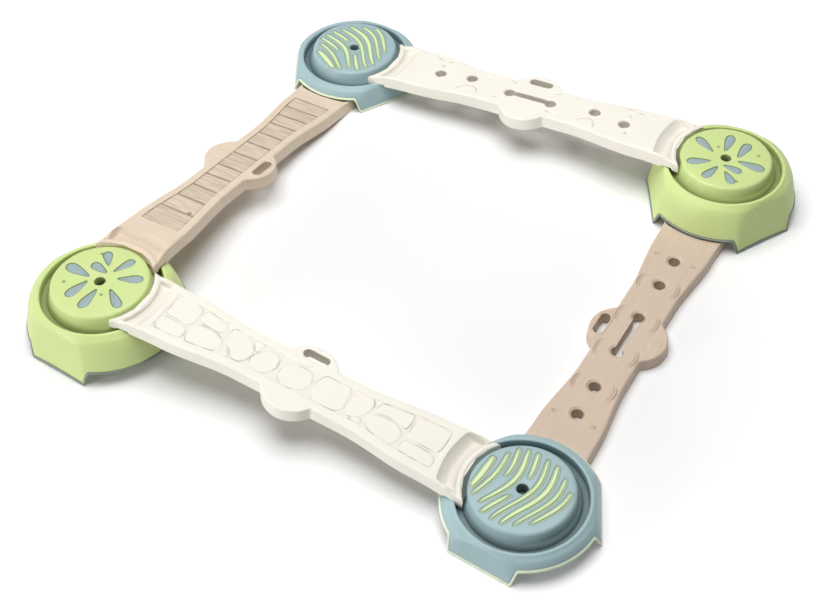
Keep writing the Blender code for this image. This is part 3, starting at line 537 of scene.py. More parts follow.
def footRimMesh(name, height, shape):
    # rounded edge band in the second colour
    s = hubShape
    edge = footEdge(shape["sideRise"])
    inward = -s["wall"] - s["rimProud"]
    section = filleted([(inward, 0, 0.001), (s["rimProud"], 0, 0.0012),
                        (s["rimProud"], s["rimHeight"], 0.0018), (inward, s["rimHeight"], 0.001)], 3)
    foot = shape["footRadius"]
    points = [(*polar(skirtRadius(angle, level, height, foot) + out, angle), level)
              for out, up in section for angle, level in raisedEdge(edge, foot, up)]
    return meshFrom(name, points, ringFaces(len(section), len(edge), True))


petalRows = (
    # degrees round the hub to the tip, heading, then shares of the disc radius: distance, length, width
    (80, 105, 0.460, 0.400, 0.190), (51, 43, 0.368, 0.484, 0.190), (13, 1, 0.366, 0.516, 0.210),
    (-40, -60, 0.347, 0.558, 0.200), (-94, -114, 0.237, 0.558, 0.210), (183, 233, 0.263, 0.547, 0.210),
    (154, 150, 0.284, 0.600, 0.242), (71, 144, 0.253, 0.421, 0.200),
)
petalShape = {"sections": ((0.0, 0.16), (0.25, 0.50), (0.55, 0.88), (0.78, 0.98), (0.94, 0.66)),
              "sunk": 0.0009, "cut": ((0.0022, 0.0008), (0.0010, -0.0008), (0.0004, -0.0018)),
              "body": ((-0.0016, 0), (-0.0007, -0.0002), (0, -0.0010))}
dimples = ((99, 0.78, 0.046), (15, 0.66, 0.038), (-73, 0.39, 0.040), (184, 0.73, 0.044))
dimpleLevels = ((1.0, 0.0004), (0.70, -0.0009), (0.3, -0.0016))


def petalOutlines():
    outlines = []
    disc = hubShape["discRadius"]
    for turn, heading, tip, length, width in petalRows:
        along = Vector(polar(1, math.radians(heading)))
        across = Vector((-along.y, along.x))
        start = Vector(polar(1, math.radians(turn))) * tip * disc
        half = [(length * disc * share, width * disc / 2 * wide) for share, wide in petalShape["sections"]]
        corners = [start + along * x - across * y for x, y in half] + [start + along * length * disc]
        corners += [start + along * x + across * y for x, y in reversed(half)]
        outlines.append(smoothOutline([tuple(corner) for corner in corners]))
    return outlines


stripeRows = (
    # place across the disc, start and end along the stripe, width, as shares of the disc radius
    (-0.80, -0.38, 0.36, 0.095), (-0.58, -0.53, 0.57, 0.052), (-0.40, 0.13, 0.76, 0.048),
    (-0.21, -0.61, 0.82, 0.066), (-0.01, 0.295, 0.84, 0.050), (-0.01, -0.80, -0.27, 0.062),
    (0.21, -0.84, 0.78, 0.054), (0.42, -0.84, 0.74, 0.078), (0.63, -0.76, 0.55, 0.052),
    (0.82, -0.59, 0.32, 0.060),
)
stripeShape = {"heading": math.radians(64), "lean": 0.16, "swing": 0.126, "swingLength": 2.1, "peak": 0.126,
               "straightSide": -0.95, "fullSwing": 0.63, "steps": 30, "proud": 0.0014, "shoulder": 0.0042,
               "shoulderDrop": 0.0006, "root": 0.0020, "cut": ((0.0010, 0.0005), (0.0004, -0.0006)),
               "body": ((-0.0009, 0), (-0.0003, -0.0004), (0.0002, -0.0016))}
# painted shade of the shell and its grip: how far below a level it starts, and the height it fades in over;
# then how dark it gets in the groove and the openings
hubShade = {"hole": (0.0012, 0.006), "wallFoot": (-0.0055, 0.004), "rim": (0.0015, 0.006),
            "opening": (0.0002, 0.0008), "petal": (0.0006, 0.0012), "stripe": (-0.0004, 0.0009),
            "grooveDark": 0.85, "openingDark": 0.8}


def stripeOutline(place, start, end, width, grow):
    s = stripeShape
    disc = hubShape["discRadius"]
    shareOfSwing = min(1.0, (place - s["straightSide"]) / s["fullSwing"])
    heading = Vector(polar(1, s["heading"]))
    sideways = Vector((heading.y, -heading.x))
    upper = []
    lower = []
    for i in range(s["steps"] + 1):
        share = i / s["steps"]
        y = start - grow / disc + (end - start + 2 * grow / disc) * share
        swell = (math.sin(math.pi * clamp(share, 0.01, 0.99))) ** 0.32
        half = width / 2 * swell + grow / disc * min(1.0, swell * 1.6)
        pastPeak = y - s["peak"]
        swing = s["swing"] * (math.cos(math.tau * pastPeak / s["swingLength"]) - 1)
        x = place + shareOfSwing * (swing + s["lean"] * pastPeak)
        middle = (sideways * x + heading * y) * disc
        upper.append(tuple(middle - sideways * half * disc))
        lower.append(tuple(middle + sideways * half * disc))
    return lower + list(reversed(upper))


def darkBelow(level, key, point):
    drop, fade = hubShade[key]
    return clamp((level - drop - point.z) / fade)


def topCutters(tall, height):
    # the openings in a disc's top, and the dimples of the tall ones
    low = height - 2 * hubShape["topThickness"]
    if tall:
        openings = [movedLevels(outline, petalShape["cut"], height) for outline in petalOutlines()]
    else:
        openings = [[(stripeOutline(*row, stripeShape["shoulder"] + out), height + rise)
                     for out, rise in stripeShape["cut"]] for row in stripeRows]
    cutters = [loftedMesh("opening", levels + [(levels[-1][0], low)]) for levels in openings]
    for turn, share, size in dimples if tall else ():
        x, y = polar(hubShape["discRadius"] * share, math.radians(turn))
        cutters.append(loftedMesh("dimple", [
            (circleAt(x, y, hubShape["discRadius"] * size * grow, 20), height + rise)
            for grow, rise in dimpleLevels]))
    return cutters


def gripMesh(hubName, tall, height):
    # a plate under the disc, with the pattern that comes up through it
    s = hubShape
    plateTop = height - s["topThickness"] - s["plateGap"]
    plateLow = plateTop - s["plateThick"]
    plateHole = s["holeRadius"] + s["tubeWall"] + s["plateSlack"]
    plate = turnedMesh("plate", filleted([
        (plateHole, plateLow, 0), (plateHole, plateTop, 0),
        (s["plateRadius"], plateTop, 0.0004), (s["plateRadius"], plateLow, 0.0004)], 2), 96)
    parts = [plate]
    root = plateTop - s["plateSink"]
    if tall:
        for outline in petalOutlines():
            levels = movedLevels(outline, petalShape["body"], height - petalShape["sunk"])
            parts.append(loftedMesh("petal", levels + [(levels[-1][0], root)]))
    else:
        for row in stripeRows:
            shoulder = stripeOutline(*row, stripeShape["shoulder"])
            parts.append(loftedMesh("shoulder", (
                (shoulder, height - stripeShape["shoulderDrop"]), (shoulder, root))))
            levels = [(stripeOutline(*row, out), height + stripeShape["proud"] + rise)
                      for out, rise in stripeShape["body"]]
            parts.append(loftedMesh("ridge", levels + [(levels[-1][0], height - stripeShape["root"])]))
    return joinedMesh(hubName + "_grip", parts)


def buildHub(hubName):
    tall = hubName in tallHubs
    shape = tallShape if tall else lowShape
    s = hubShape
    height = hubHeights[hubName]
    spot = Matrix.Translation(hubAxes[hubName])
    core = turnedMesh(hubName, coreProfile(height), s["turnSteps"])
    core = cutMesh(core, joinedMesh("openings", topCutters(tall, height)), True)
    shell = joinedMesh(hubName + "_shell", [core, skirtMesh(hubName, height, shape)])
    grooveFloor = height - s["grooveDepth"]

    def shellPaintedShade(point):
        # painted shade inside the centre hole, at the foot of the disc's wall and up the rim's inner side,
        # and down the walls of the top's openings
        radius = math.hypot(point.x, point.y)
        if radius < s["holeRadius"] + 0.0006:
            return darkBelow(height, "hole", point)
        if s["discRadius"] - 0.001 < radius < s["grooveRadius"] + 0.002 and point.z > grooveFloor - 0.001:
            if radius < s["discRadius"] + s["wallReach"] - 0.0002:
                return hubShade["grooveDark"] * darkBelow(grooveFloor, "wallFoot", point)
            return hubShade["grooveDark"] * darkBelow(height - s["rimDrop"], "rim", point)
        if radius < s["discRadius"] - s["discRound"]:
            return hubShade["openingDark"] * darkBelow(height, "opening", point)
        return 0.0

    setShade(shell, "paintedShadeAndTone", shellPaintedShade)
    insert = gripMesh(hubName, tall, height)
    # painted shade down the sides of the petals and the stripes
    level, key = (height - petalShape["sunk"], "petal") if tall else (height, "stripe")
    setShade(insert, "paintedShadeAndTone", lambda point: darkBelow(level, key, point))
    rim = footRimMesh(hubName + "_rim", height, shape)
    # the turn goes into the meshes, so that a piece's own box stays as tight as the piece
    turn = Matrix.Rotation(math.radians(hubTurns[hubName]), 4, "Z")
    for mesh, suffix, node, look, sharpAngle in ((shell, "_body_shell", "_shell", "shell", 38),
                                                 (insert, "_grip_pattern", "_grip_insert", "grip", 50),
                                                 (rim, "_edge_band", "_foot_rim", "edge", 60)):
        material, slot = shape[look]
        mesh.transform(turn)
        piece = placed(hubName + suffix, mesh, spot, materials[material], sharpAngle)
        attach(piece, hubBodies[hubName])
        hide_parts(hubName + node)


for hubName in hubNames:
    buildHub(hubName)
print("hubs made")


# bridges

bridgeShape = {
    "depth": 0.027, "wall": 0.0032, "edgeRound": 0.004, "draft": 0.002, "rise": 0.005,
    "waist": 0.049, "flare": 0.0625, "flareStart": 0.190, "flareEnd": 0.345, "tip": 0.0765,
    "lipRadius": 0.106, "lipHalfAngle": math.radians(41), "lipDrop": 0.007, "beadWidth": 0.010,
    "runOut": 0.024,
    "scoopReach": 0.150, "scoopBow": 0.190, "scoopHalf": 0.0625, "scoopDepth": 0.015,
    "scoopSlope": 0.021, "scoopSide": 0.0085, "seatRadius": 0.125, "archSeat": 0.1432, "archGap": 0.0015,
    "notchIn": 0.1172, "notchOut": 0.137, "earRadius": 0.061, "earOffset": 0.019, "earBlend": 0.006,
    "panelDepth": 0.0025, "panelBorder": 0.017, "reliefInset": 0.0007, "jointRise": 0.0008,
    "earSlot": (0.057, 0.021, 0.0565), "holeRadius": 0.0125, "holePlaces": (0.234, 0.309),
    "slotLength": 0.126, "slotNeck": 0.015,
    "holeTaper": 0.0012, "collarWall": 0.0024, "collarDepth": 0.024,
    "notchTop": -0.0221, "step": 0.0016, "endStep": 0.0011, "acrossPoints": 88,
    "endReach": 0.156, "beadSag": 0.0024, "scoopPower": 2.4, "floorPower": 1.7, "scoopWall": 0.005,
    "sunkFrom": 0.0072, "sunkOver": 0.0070, "scoopDark": (0.10, 0.24), "scoopDarkReach": 0.012,
    "panelEdge": 0.0014, "holeDent": 0.0030, "dentDark": 0.14,
    "holeDark": (0.06, 0.26), "holeTop": -0.0016, "holeFade": 0.014,
    "scoopShadeLow": -0.0165, "deckShadeLow": -0.0075, "grainLow": -0.0052, "borderGrain": 0.25,
    "widthFrom": 0.088, "endWallSteps": 3, "floorGap": 0.0002, "cutAbove": 0.004, "cutBelow": 0.002,
}
# relief of each look, with how dark the painted shade in its lines is
stoneLook = {"reach": 0.006, "round": 0.0020, "line": 0.0002, "lineHalf": 0.0016, "bed": 0.05, "dark": 0.78,
             "breaks": (0.32, 1.8), "breakRange": (0.12, 1.0), "breakScales": (45, 45)}
plankLook = {"joint": 0.0013, "side": 0.0012, "round": 0.0017, "lean": 0.0012, "ripple": 0.0004,
             "sink": 1.6, "jointDark": 0.85, "tone": (0.04, 0.06), "rippleDark": 0.14,
             "leanScales": (30, 8), "rippleScales": (230, 20), "rippleSlope": 1500,
             "nail": (0.252, -0.027), "nailRadius": 0.0055, "nailRound": 0.002, "nailDepth": 0.0014,
             "nailDark": 0.8}
logLook = {"reach": 0.07, "lineHalf": 0.0018, "lineCore": 1.3, "knot": (0.703, -0.027),
           "knotRadius": 0.0038, "knotCore": 1.5, "depth": 0.0013, "dark": 0.42}
dishedLook = {"lines": ((0.0, 1.0), (0.0055, 0.6)), "base": 0.036, "bow": 0.008, "lineHalf": 0.0030,
              "depth": 0.0018, "dark": 0.55, "button": 0.0130, "buttonRise": 0.0010,
              "buttonRound": 0.0012}
slotLook = {"reach": 0.0045, "lip": (0.0044, 0.0014), "lipSlope": 0.0014, "lipRise": 0.0014,
            "lipLine": 0.0042, "lipLineHalf": 0.0012, "lipDark": 0.30, "edgeDrop": 0.0010,
            "edgeReach": 0.0016}
bridgeRows = {
    "front_bridge": {"hubs": ("left_hub", "front_hub"), "ends": ("high", "high"), "body": "front_bridge",
                     "finish": "stone", "slot": "ivory_plastic", "slotSide": 1, "panelStart": 0.158,
                     "slip": (0, 0), "look": "stones", "stoneGrow": 0.0011},
    "left_bridge": {"hubs": ("left_hub", "back_hub"), "ends": ("high", "low"), "body": "left_arm",
                    "finish": "plank", "slot": "beige_plastic", "slotSide": -1, "panelStart": 0.188,
                    "slip": (0, 0), "look": "planks"},
    "back_bridge": {"hubs": ("back_hub", "right_hub"), "ends": ("high", "high"), "body": "back_bridge",
                    "finish": "ivoryLog", "slot": "ivory_plastic", "slotSide": 1, "shift": 0.012,
                    "dish": 0.0020, "slip": (0, 0), "look": "log"},
    "right_bridge": {"hubs": ("front_hub", "right_hub"), "ends": ("low", "low"), "body": "right_arm",
                     "finish": "shadedBeigeLog", "slot": "beige_plastic", "slotSide": 1, "shift": 0.0,
                     "dish": 0.0048, "slip": (-0.0020, -0.0065), "look": "dishedLog"},
}
stoneRows = (
    # corners as shares of half the panel length along and half its width across
    ((-.985, .97), (-.985, -.10), (-.89, -.13), (-.81, -.15), (-.795, .02), (-.79, .45), (-.80, .85),
     (-.86, .97)),
    ((-.985, -.28), (-.985, -.95), (-.80, -.95), (-.79, -.60), (-.815, -.32), (-.90, -.26)),
    ((-.775, .95), (-.775, .35), (-.74, .26), (-.62, .24), (-.59, .40), (-.59, .90)),
    ((-.775, .05), (-.70, .14), (-.62, .12), (-.56, -.10), (-.54, -.55), (-.57, -.93), (-.76, -.95),
     (-.78, -.45)),
    ((-.53, -.93), (-.52, -.66), (-.497, -.56), (-.475, -.68), (-.465, -.93)),
    ((-.55, .93), (-.555, .30), (-.53, -.15), (-.48, -.42), (-.44, -.88), (-.385, -.86), (-.355, -.50),
     (-.345, 0), (-.36, .35), (-.40, .75), (-.43, .95)),
    ((-.385, .95), (-.37, .60), (-.335, .22), (-.315, .55), (-.31, .95)),
    ((-.325, .10), (-.295, .58), (-.22, .75), (-.18, .50), (-.165, -.10), (-.19, -.70), (-.25, -.93),
     (-.32, -.75), (-.34, -.25)),
    ((-.135, 0), (-.12, .50), (-.06, .72), (.03, .72), (.07, .35), (.08, -.2), (.05, -.75), (-.03, -.95),
     (-.09, -.90), (-.13, -.50)),
    ((.10, -.10), (.11, .50), (.13, .95), (.30, .95), (.325, .55), (.33, 0), (.34, -.50), (.30, -.93),
     (.15, -.95), (.115, -.60)),
    ((.345, .55), (.40, .93), (.46, .95), (.49, .55), (.48, -.10), (.44, -.60), (.38, -.80), (.35, -.30)),
    ((.40, -.93), (.415, -.75), (.45, -.58), (.475, -.62), (.475, -.93)),
    ((.50, -.05), (.55, .12), (.62, .17), (.68, .10), (.725, -.15), (.735, -.45), (.71, -.92), (.55, -.95),
     (.50, -.60)),
    ((.53, .95), (.51, .50), (.52, .25), (.60, .32), (.68, .28), (.735, .10), (.74, .50), (.735, .95)),
    ((.765, .95), (.76, 0), (.765, -.20), (.86, -.18), (.97, -.25), (.985, .10), (.985, .95)),
    ((.765, -.38), (.86, -.35), (.96, -.42), (.985, -.60), (.985, -.95), (.765, -.95), (.76, -.60)),
)
plankJoints = (-1.0, -0.79, -0.62, -0.45, -0.28, -0.13, 0.07, 0.245, 0.41, 0.58, 0.72, 0.855, 1.0)
# shallow carved lines of the log bridges, as points along and across in metres
logLines = (
    ((0.290, -0.036), (0.296, -0.026), (0.306, -0.016), (0.322, -0.013), (0.334, -0.018), (0.342, -0.027)),
    ((0.588, -0.027), (0.598, -0.018), (0.611, -0.012), (0.624, -0.018), (0.630, -0.028), (0.630, -0.036)),
    ((0.200, 0.050), (0.214, 0.045)), ((0.230, 0.044), (0.242, 0.047)), ((0.222, 0.030), (0.230, 0.024)),
    ((0.672, 0.050), (0.690, 0.053)), ((0.702, 0.049), (0.716, 0.046)), ((0.686, 0.033), (0.694, 0.027)),
    ((0.396, 0.040), (0.410, 0.036)), ((0.376, -0.029), (0.390, -0.026)), ((0.508, 0.036), (0.520, 0.040)),
    ((0.512, -0.026), (0.526, -0.029)),
)
# carved waves beside the holes of the low log bridge: place along, half their length
rippleRows = ((0.220, 0.006), (0.307, 0.023), (0.405, 0.026), (0.505, 0.026), (0.607, 0.023),
              (0.690, 0.006))


def sideHalfWidth(fromEnd):
    s = bridgeShape
    if fromEnd <= s["flareStart"]:
        tip = s["lipRadius"] * math.cos(s["lipHalfAngle"])
        share = (s["flareStart"] - fromEnd) / (s["flareStart"] - tip)
        return s["flare"] + (s["tip"] - s["flare"]) * share * share
    share = ease((s["flareEnd"] - fromEnd) / (s["flareEnd"] - s["flareStart"]))
    return s["waist"] + (s["flare"] - s["waist"]) * share


def deckHalfWidth(along, length):
    s = bridgeShape
    width = sideHalfWidth(min(along, length - along))
    offset = abs(along - length / 2)
    if offset < s["earRadius"]:
        width = softMax(width, s["earOffset"] + math.sqrt(s["earRadius"] ** 2 - offset ** 2), s["earBlend"])
    return width


def segmentDistance(x, y, ax, ay, bx, by):
    dx, dy = bx - ax, by - ay
    share = clamp(((x - ax) * dx + (y - ay) * dy) / (dx * dx + dy * dy))
    return math.hypot(x - ax - dx * share, y - ay - dy * share)


def panelDistance(row, fromEnd, across):
    # how far inside its sunk panel a place on the deck is, below zero outside
    side = sideHalfWidth(fromEnd) - bridgeShape["panelBorder"] - abs(across)
    return min(side, fromEnd - row["panelStart"])


def patchNoise(first, second, scales, layer):
    return noise.noise(Vector((first * scales[0], second * scales[1], layer)))


def nearPolyline(x, y, points):
    return min(segmentDistance(x, y, *start, *end) for start, end in zip(points, points[1:]))


def insideDistance(x, y, outline):
    # how far inside a clockwise or counter-clockwise outline a point is, below zero outside
    inside = False
    best = 1.0
    ax, ay = outline[-1]
    for bx, by in outline:
        if (ay > y) != (by > y) and x < (bx - ax) * (y - ay) / (by - ay) + ax:
            inside = not inside
        best = min(best, segmentDistance(x, y, ax, ay, bx, by))
        ax, ay = bx, by
    return best if inside else -best


def slotOutline(x, y, length, endRadius, openAngle=math.pi / 2, steps=16):
    # two round ends; the open angle is half of what the neck between them leaves out
    points = []
    for side, middle in ((1, 0.0), (-1, math.pi)):
        for i in range(steps + 1):
            angle = middle - (math.pi - openAngle) + 2 * (math.pi - openAngle) * i / steps
            points.append((x + side * (length / 2 - endRadius) + endRadius * math.cos(angle),
                           y + endRadius * math.sin(angle)))
    return points


def endSurface(fromAxis, along, across):
    # lip bead, its run-out at the sides and the scoop behind it; along is from the hub axis. The second
    # value is painted shade in the scoop
    s = bridgeShape
    crestEnd = s["lipRadius"] + s["beadWidth"]
    level = -s["lipDrop"] * (1 - ease((fromAxis - crestEnd) / s["runOut"]))
    paintedShadeAndTone = 0.0
    bead = (fromAxis - s["lipRadius"] - s["beadWidth"] / 2) / (s["beadWidth"] / 2)
    if bead < 1:
        level -= s["beadSag"] * min(abs(bead), 1.15) ** 3
    reach = s["scoopReach"] - s["scoopBow"] + math.sqrt(s["scoopBow"] ** 2 - across ** 2) - along
    side = s["scoopHalf"] - abs(across)
    if reach > 0 and side > 0 and fromAxis > crestEnd - 0.001:
        far = 1 - clamp(reach / s["scoopSlope"])
        flank = 1 - clamp(side / s["scoopSide"])
        power = s["scoopPower"]
        filled = clamp(1 - (far ** power + flank ** power) ** (1 / power))
        floor = -s["scoopDepth"] * (1 - (1 - filled) ** s["floorPower"])
        wall = ease((fromAxis - crestEnd + 0.001) / s["scoopWall"])
        level += (min(level, floor) - level) * wall
        # painted shade where the scoop sinks deep, strongest just behind the lip
        sunk = clamp((-level - s["sunkFrom"]) / s["sunkOver"])
        least, more = s["scoopDark"]
        paintedShadeAndTone = sunk * (least + more * clamp(1 - (fromAxis - crestEnd - 0.002) / s["scoopDarkReach"]))
    return level, paintedShadeAndTone


def stoneOutlines(row, length):
    # each with the first and last place along the deck where it matters
    half = length / 2
    found = []
    for stone in stoneRows:
        corners = []
        for along, across in stone:
            u = half + along * (half - row["panelStart"])
            width = sideHalfWidth(min(u, length - u)) - bridgeShape["panelBorder"]
            corners.append((u, across * width))
        outline = smoothOutline(corners, (0.14, 0.25))
        if insideDistance(*outline[0], outlineMoved(outline, 0.001)) < 0:
            outline.reverse()
        outline = outlineMoved(outline, row["stoneGrow"])
        reach = stoneLook["reach"]
        found.append((min(p[0] for p in outline) - reach, max(p[0] for p in outline) + reach, outline))
    return found


def stoneRelief(u, v, depth, outlines):
    s, look = bridgeShape, stoneLook
    near = [insideDistance(u, v, outline) for first, last, outline in outlines if first < u < last]
    deep = max(near, default=-0.004)
    rise = ease(deep / look["round"])
    height = s["jointRise"] * (1 - rise) * depth + (s["panelDepth"] - s["reliefInset"]) * rise
    line = ease(1 - abs(deep - look["line"]) / look["lineHalf"])
    least, swing = look["breaks"]
    broken = clamp(least + swing * patchNoise(u, v, look["breakScales"], 3.1), *look["breakRange"])
    # painted shade in the joints and their beds, broken up by noise
    return height, depth * (look["bed"] * (1 - rise) + line * broken * look["dark"])


def plankRelief(u, v, depth, inside, joints):
    s, look = bridgeShape, plankLook
    lean = look["lean"] * patchNoise(v, u, look["leanScales"], 0)
    near = min(abs(u + lean - joint) for joint in joints)
    rise = ease(min(near - look["joint"], inside - look["side"]) / look["round"])
    ripple = look["ripple"] * patchNoise(u, v, look["rippleScales"], 1.7)
    height = (s["panelDepth"] - s["reliefInset"] * look["sink"] + ripple) * rise
    middle, swing = look["tone"]
    tone = middle + swing * math.sin(sum(u > joint for joint in joints) * 2.4)
    # painted shade in the joints and the ripples' low parts, over a real tone per plank; the nail dent has
    # painted shade too
    grooves = look["rippleDark"] * clamp(0.5 - look["rippleSlope"] * ripple)
    paintedShadeAndTone = max(look["jointDark"] * (1 - rise) * depth, tone + grooves)
    nail = math.hypot(u - look["nail"][0], v - look["nail"][1])
    dent = ease((look["nailRadius"] - nail) / look["nailRound"])
    return height - look["nailDepth"] * dent, max(paintedShadeAndTone, look["nailDark"] * dent)


def logRelief(u, v):
    look = logLook
    shade = 0.0
    for line in logLines:
        if abs(u - line[0][0]) < look["reach"]:
            shade = max(shade, clamp(look["lineCore"] - nearPolyline(u, v, line) / look["lineHalf"]))
    knot = math.hypot(u - look["knot"][0], v - look["knot"][1])
    shade = ease(max(shade, clamp(look["knotCore"] - knot / look["knotRadius"])))
    # the carved lines and the knot are sunk, with painted shade in them
    return -look["depth"] * shade, look["dark"] * shade


def rippleRelief(u, v, middle):
    # waves at both sides of the holes, and a button on the ear without a slot
    look = dishedLook
    height = 0.0
    paintedShadeAndTone = 0.0
    for centre, span in rippleRows:
        offset = (u - centre) / span
        if abs(offset) >= 1:
            continue
        bow = look["base"] + look["bow"] * (1 - offset * offset)
        for shift, strength in look["lines"]:
            off = abs(abs(v) - bow + shift)
            line = ease(clamp(1 - off / look["lineHalf"]) * (1 - offset ** 4))
            # painted shade in the carved waves
            height -= look["depth"] * strength * line
            paintedShadeAndTone = max(paintedShadeAndTone, look["dark"] * strength * line)
    button = math.hypot(u - middle[0], v + middle[1])
    return height + look["buttonRise"] * ease((look["button"] - button) / look["buttonRound"]), paintedShadeAndTone


def deckSurface(row, length):
    # gives the function of along and across that returns height and painted shade
    s = bridgeShape
    half = length / 2
    look = row["look"]
    outlines = stoneOutlines(row, length) if look == "stones" else []
    joints = [half + share * (half - row.get("panelStart", 0)) for share in plankJoints]
    holes = holeCentres(row, length)
    slotLength, slotWidth, slotOffset = s["earSlot"]
    slotCentre = (half, row["slotSide"] * slotOffset)

    def relief(u, v):
        if look == "log":
            return logRelief(u, v)
        if look == "dishedLog":
            return rippleRelief(u, v, slotCentre)
        fromEnd = min(u, length - u)
        inside = panelDistance(row, fromEnd, v)
        if inside <= 0:
            return 0.0, 0.0
        depth = ease(inside / s["panelEdge"])
        if look == "stones":
            height, paintedShadeAndTone = stoneRelief(u, v, depth, outlines)
        else:
            height, paintedShadeAndTone = plankRelief(u, v, depth, inside, joints)
        return height - s["panelDepth"] * depth, paintedShadeAndTone

    def surface(u, v):
        fromEnd = min(u, length - u)
        if fromEnd < s["endReach"]:
            return endSurface(math.hypot(fromEnd, v), fromEnd, v)
        height, paintedShadeAndTone = relief(u, v)
        # each hole sits in a shallow dish, with painted shade in it
        for x, y, radius in holes:
            off = math.hypot(u - x, v - y) - radius
            if off < row["dish"]:
                dent = ease(1 - off / row["dish"])
                height -= s["holeDent"] * dent
                paintedShadeAndTone = max(paintedShadeAndTone, s["dentDark"] * dent)
        aside = math.hypot(max(0, abs(u - slotCentre[0]) - (slotLength - slotWidth) / 2), v - slotCentre[1])
        aside -= slotWidth / 2
        if aside > slotLook["reach"]:
            return height, paintedShadeAndTone
        if look in ("planks", "dishedLog"):
            outer, inner = [ease((edge - aside) / slotLook["lipSlope"]) for edge in slotLook["lip"]]
            # painted shade in a line round the foot of the raised lip
            line = ease(1 - abs(aside - slotLook["lipLine"]) / slotLook["lipLineHalf"])
            return height + slotLook["lipRise"] * (outer - inner), max(paintedShadeAndTone, slotLook["lipDark"] * line)
        edge = ease((slotLook["edgeReach"] - aside) / slotLook["edgeReach"])
        return height - slotLook["edgeDrop"] * edge, paintedShadeAndTone

    return surface


def holeCentres(row, length):
    # the four round holes, then the round ends of the centre slot
    if "shift" not in row:
        return []
    radius = bridgeShape["holeRadius"]
    slotReach = bridgeShape["slotLength"] / 2 - radius
    holes = []
    for distance, shift in zip(bridgeShape["holePlaces"], (0.0, row["shift"])):
        holes += [(distance, shift, radius), (length - distance, shift, radius)]
    return holes + [(length / 2 - slotReach, 0.0, radius), (length / 2 + slotReach, 0.0, radius)]


def deckMesh(name, row, length, surface):
    s = bridgeShape
    end = s["lipRadius"]
    stations = []
    along = end
    while along < length / 2 - s["step"] / 2:
        stations.append(along)
        along += s["endStep"] if along < s["scoopReach"] else s["step"]
    stations = stations + [length / 2] + [length - u for u in reversed(stations)]
    acrossShares = [-1 + 2 * i / (s["acrossPoints"] - 1) for i in range(1, s["acrossPoints"] - 1)]
    roundAngles = [math.pi / 2 * i / 5 for i in range(6)]
    sections = []
    for number, nominal in enumerate(stations):
        fromEnd = min(nominal, length - nominal)
        fade = clamp((s["flareStart"] - fromEnd) / (s["flareStart"] - end)) ** 1.5
        solid = min(number, len(stations) - 1 - number) < s["endWallSteps"]

        def bent(across):
            # the section bends along the lip's arc near the ends
            bend = (end - math.sqrt(end * end - across * across)) * fade
            return nominal - bend if nominal < length / 2 else nominal + bend

        def lowAt(across):
            # the skirts stop short over the hub's rim bead
            along = bent(across)
            fromAxis = math.hypot(min(along, length - along), across)
            return s["notchTop"] if s["notchIn"] < fromAxis < s["notchOut"] else -s["depth"]

        def roundEdge(side):
            # from the side face up to the top
            edgeTop = surface(bent(side * inner), side * inner)[0] - s["edgeRound"]
            corner = []
            for angle in roundAngles:
                v = side * (inner + s["edgeRound"] * math.cos(angle))
                corner.append((bent(v), v, edgeTop + s["edgeRound"] * math.sin(angle)))
            return corner

        width = deckHalfWidth(clamp(nominal, s["widthFrom"], length - s["widthFrom"]), length)
        inner = width - s["edgeRound"]
        section = [(bent(-width), -width - s["draft"], lowAt(-width))] + roundEdge(-1)
        for share in acrossShares:
            v = share * inner
            section.append((bent(v), v, surface(bent(v), v)[0]))
        section += roundEdge(1)[::-1] + [(bent(width), width + s["draft"], lowAt(width))]
        roomHalf = width - s["wall"]
        roof = roofHeight(row) if fromEnd > s["scoopReach"] + s["wall"] else -s["scoopDepth"] - s["wall"]
        section.append((bent(roomHalf), roomHalf + s["draft"] * 0.8, lowAt(width)))
        for share in (1, 0.75, 0.5, 0.25, 0, -0.25, -0.5, -0.75, -1):
            v = share * roomHalf
            section.append((bent(v), v, lowAt(math.copysign(width, v)) if solid else roof))
        section.append((bent(-roomHalf), -roomHalf - s["draft"] * 0.8, lowAt(-width)))
        sections.append(section)
    return closedLoft(name, sections)


def roofHeight(row):
    # underside of the deck's top skin
    return -bridgeShape["wall"] - (bridgeShape["panelDepth"] if "panelStart" in row else 0)


def bridgePlace(row):
    # where a bridge starts and how it lies, with its length from hub axis to hub axis
    s = bridgeShape
    slip = Vector((row["slip"][0], row["slip"][1], 0))
    first = hubAxes[row["hubs"][0]] + slip
    second = hubAxes[row["hubs"][1]] + slip
    lowHeight = s["depth"] if row["ends"] == ("low", "low") else hubShape["archHeight"] - s["archGap"]
    heights = []
    seats = []
    for hub, kind in zip(row["hubs"], row["ends"]):
        high = kind == "high"
        heights.append(hubHeights[hub] + s["rise"] if high else lowHeight)
        seats.append(s["seatRadius"] if high else s["archSeat"])
    run = (second - first).length
    slope = (heights[1] - heights[0]) / (run - seats[0] - seats[1])
    tilt = math.atan(slope)
    length = run / math.cos(tilt)
    heading = math.atan2(second.y - first.y, second.x - first.x)
    spot = Matrix.Translation((first.x, first.y, heights[0] - slope * seats[0]))
    return spot @ Matrix.Rotation(heading, 4, "Z") @ Matrix.Rotation(-tilt, 4, "Y"), length


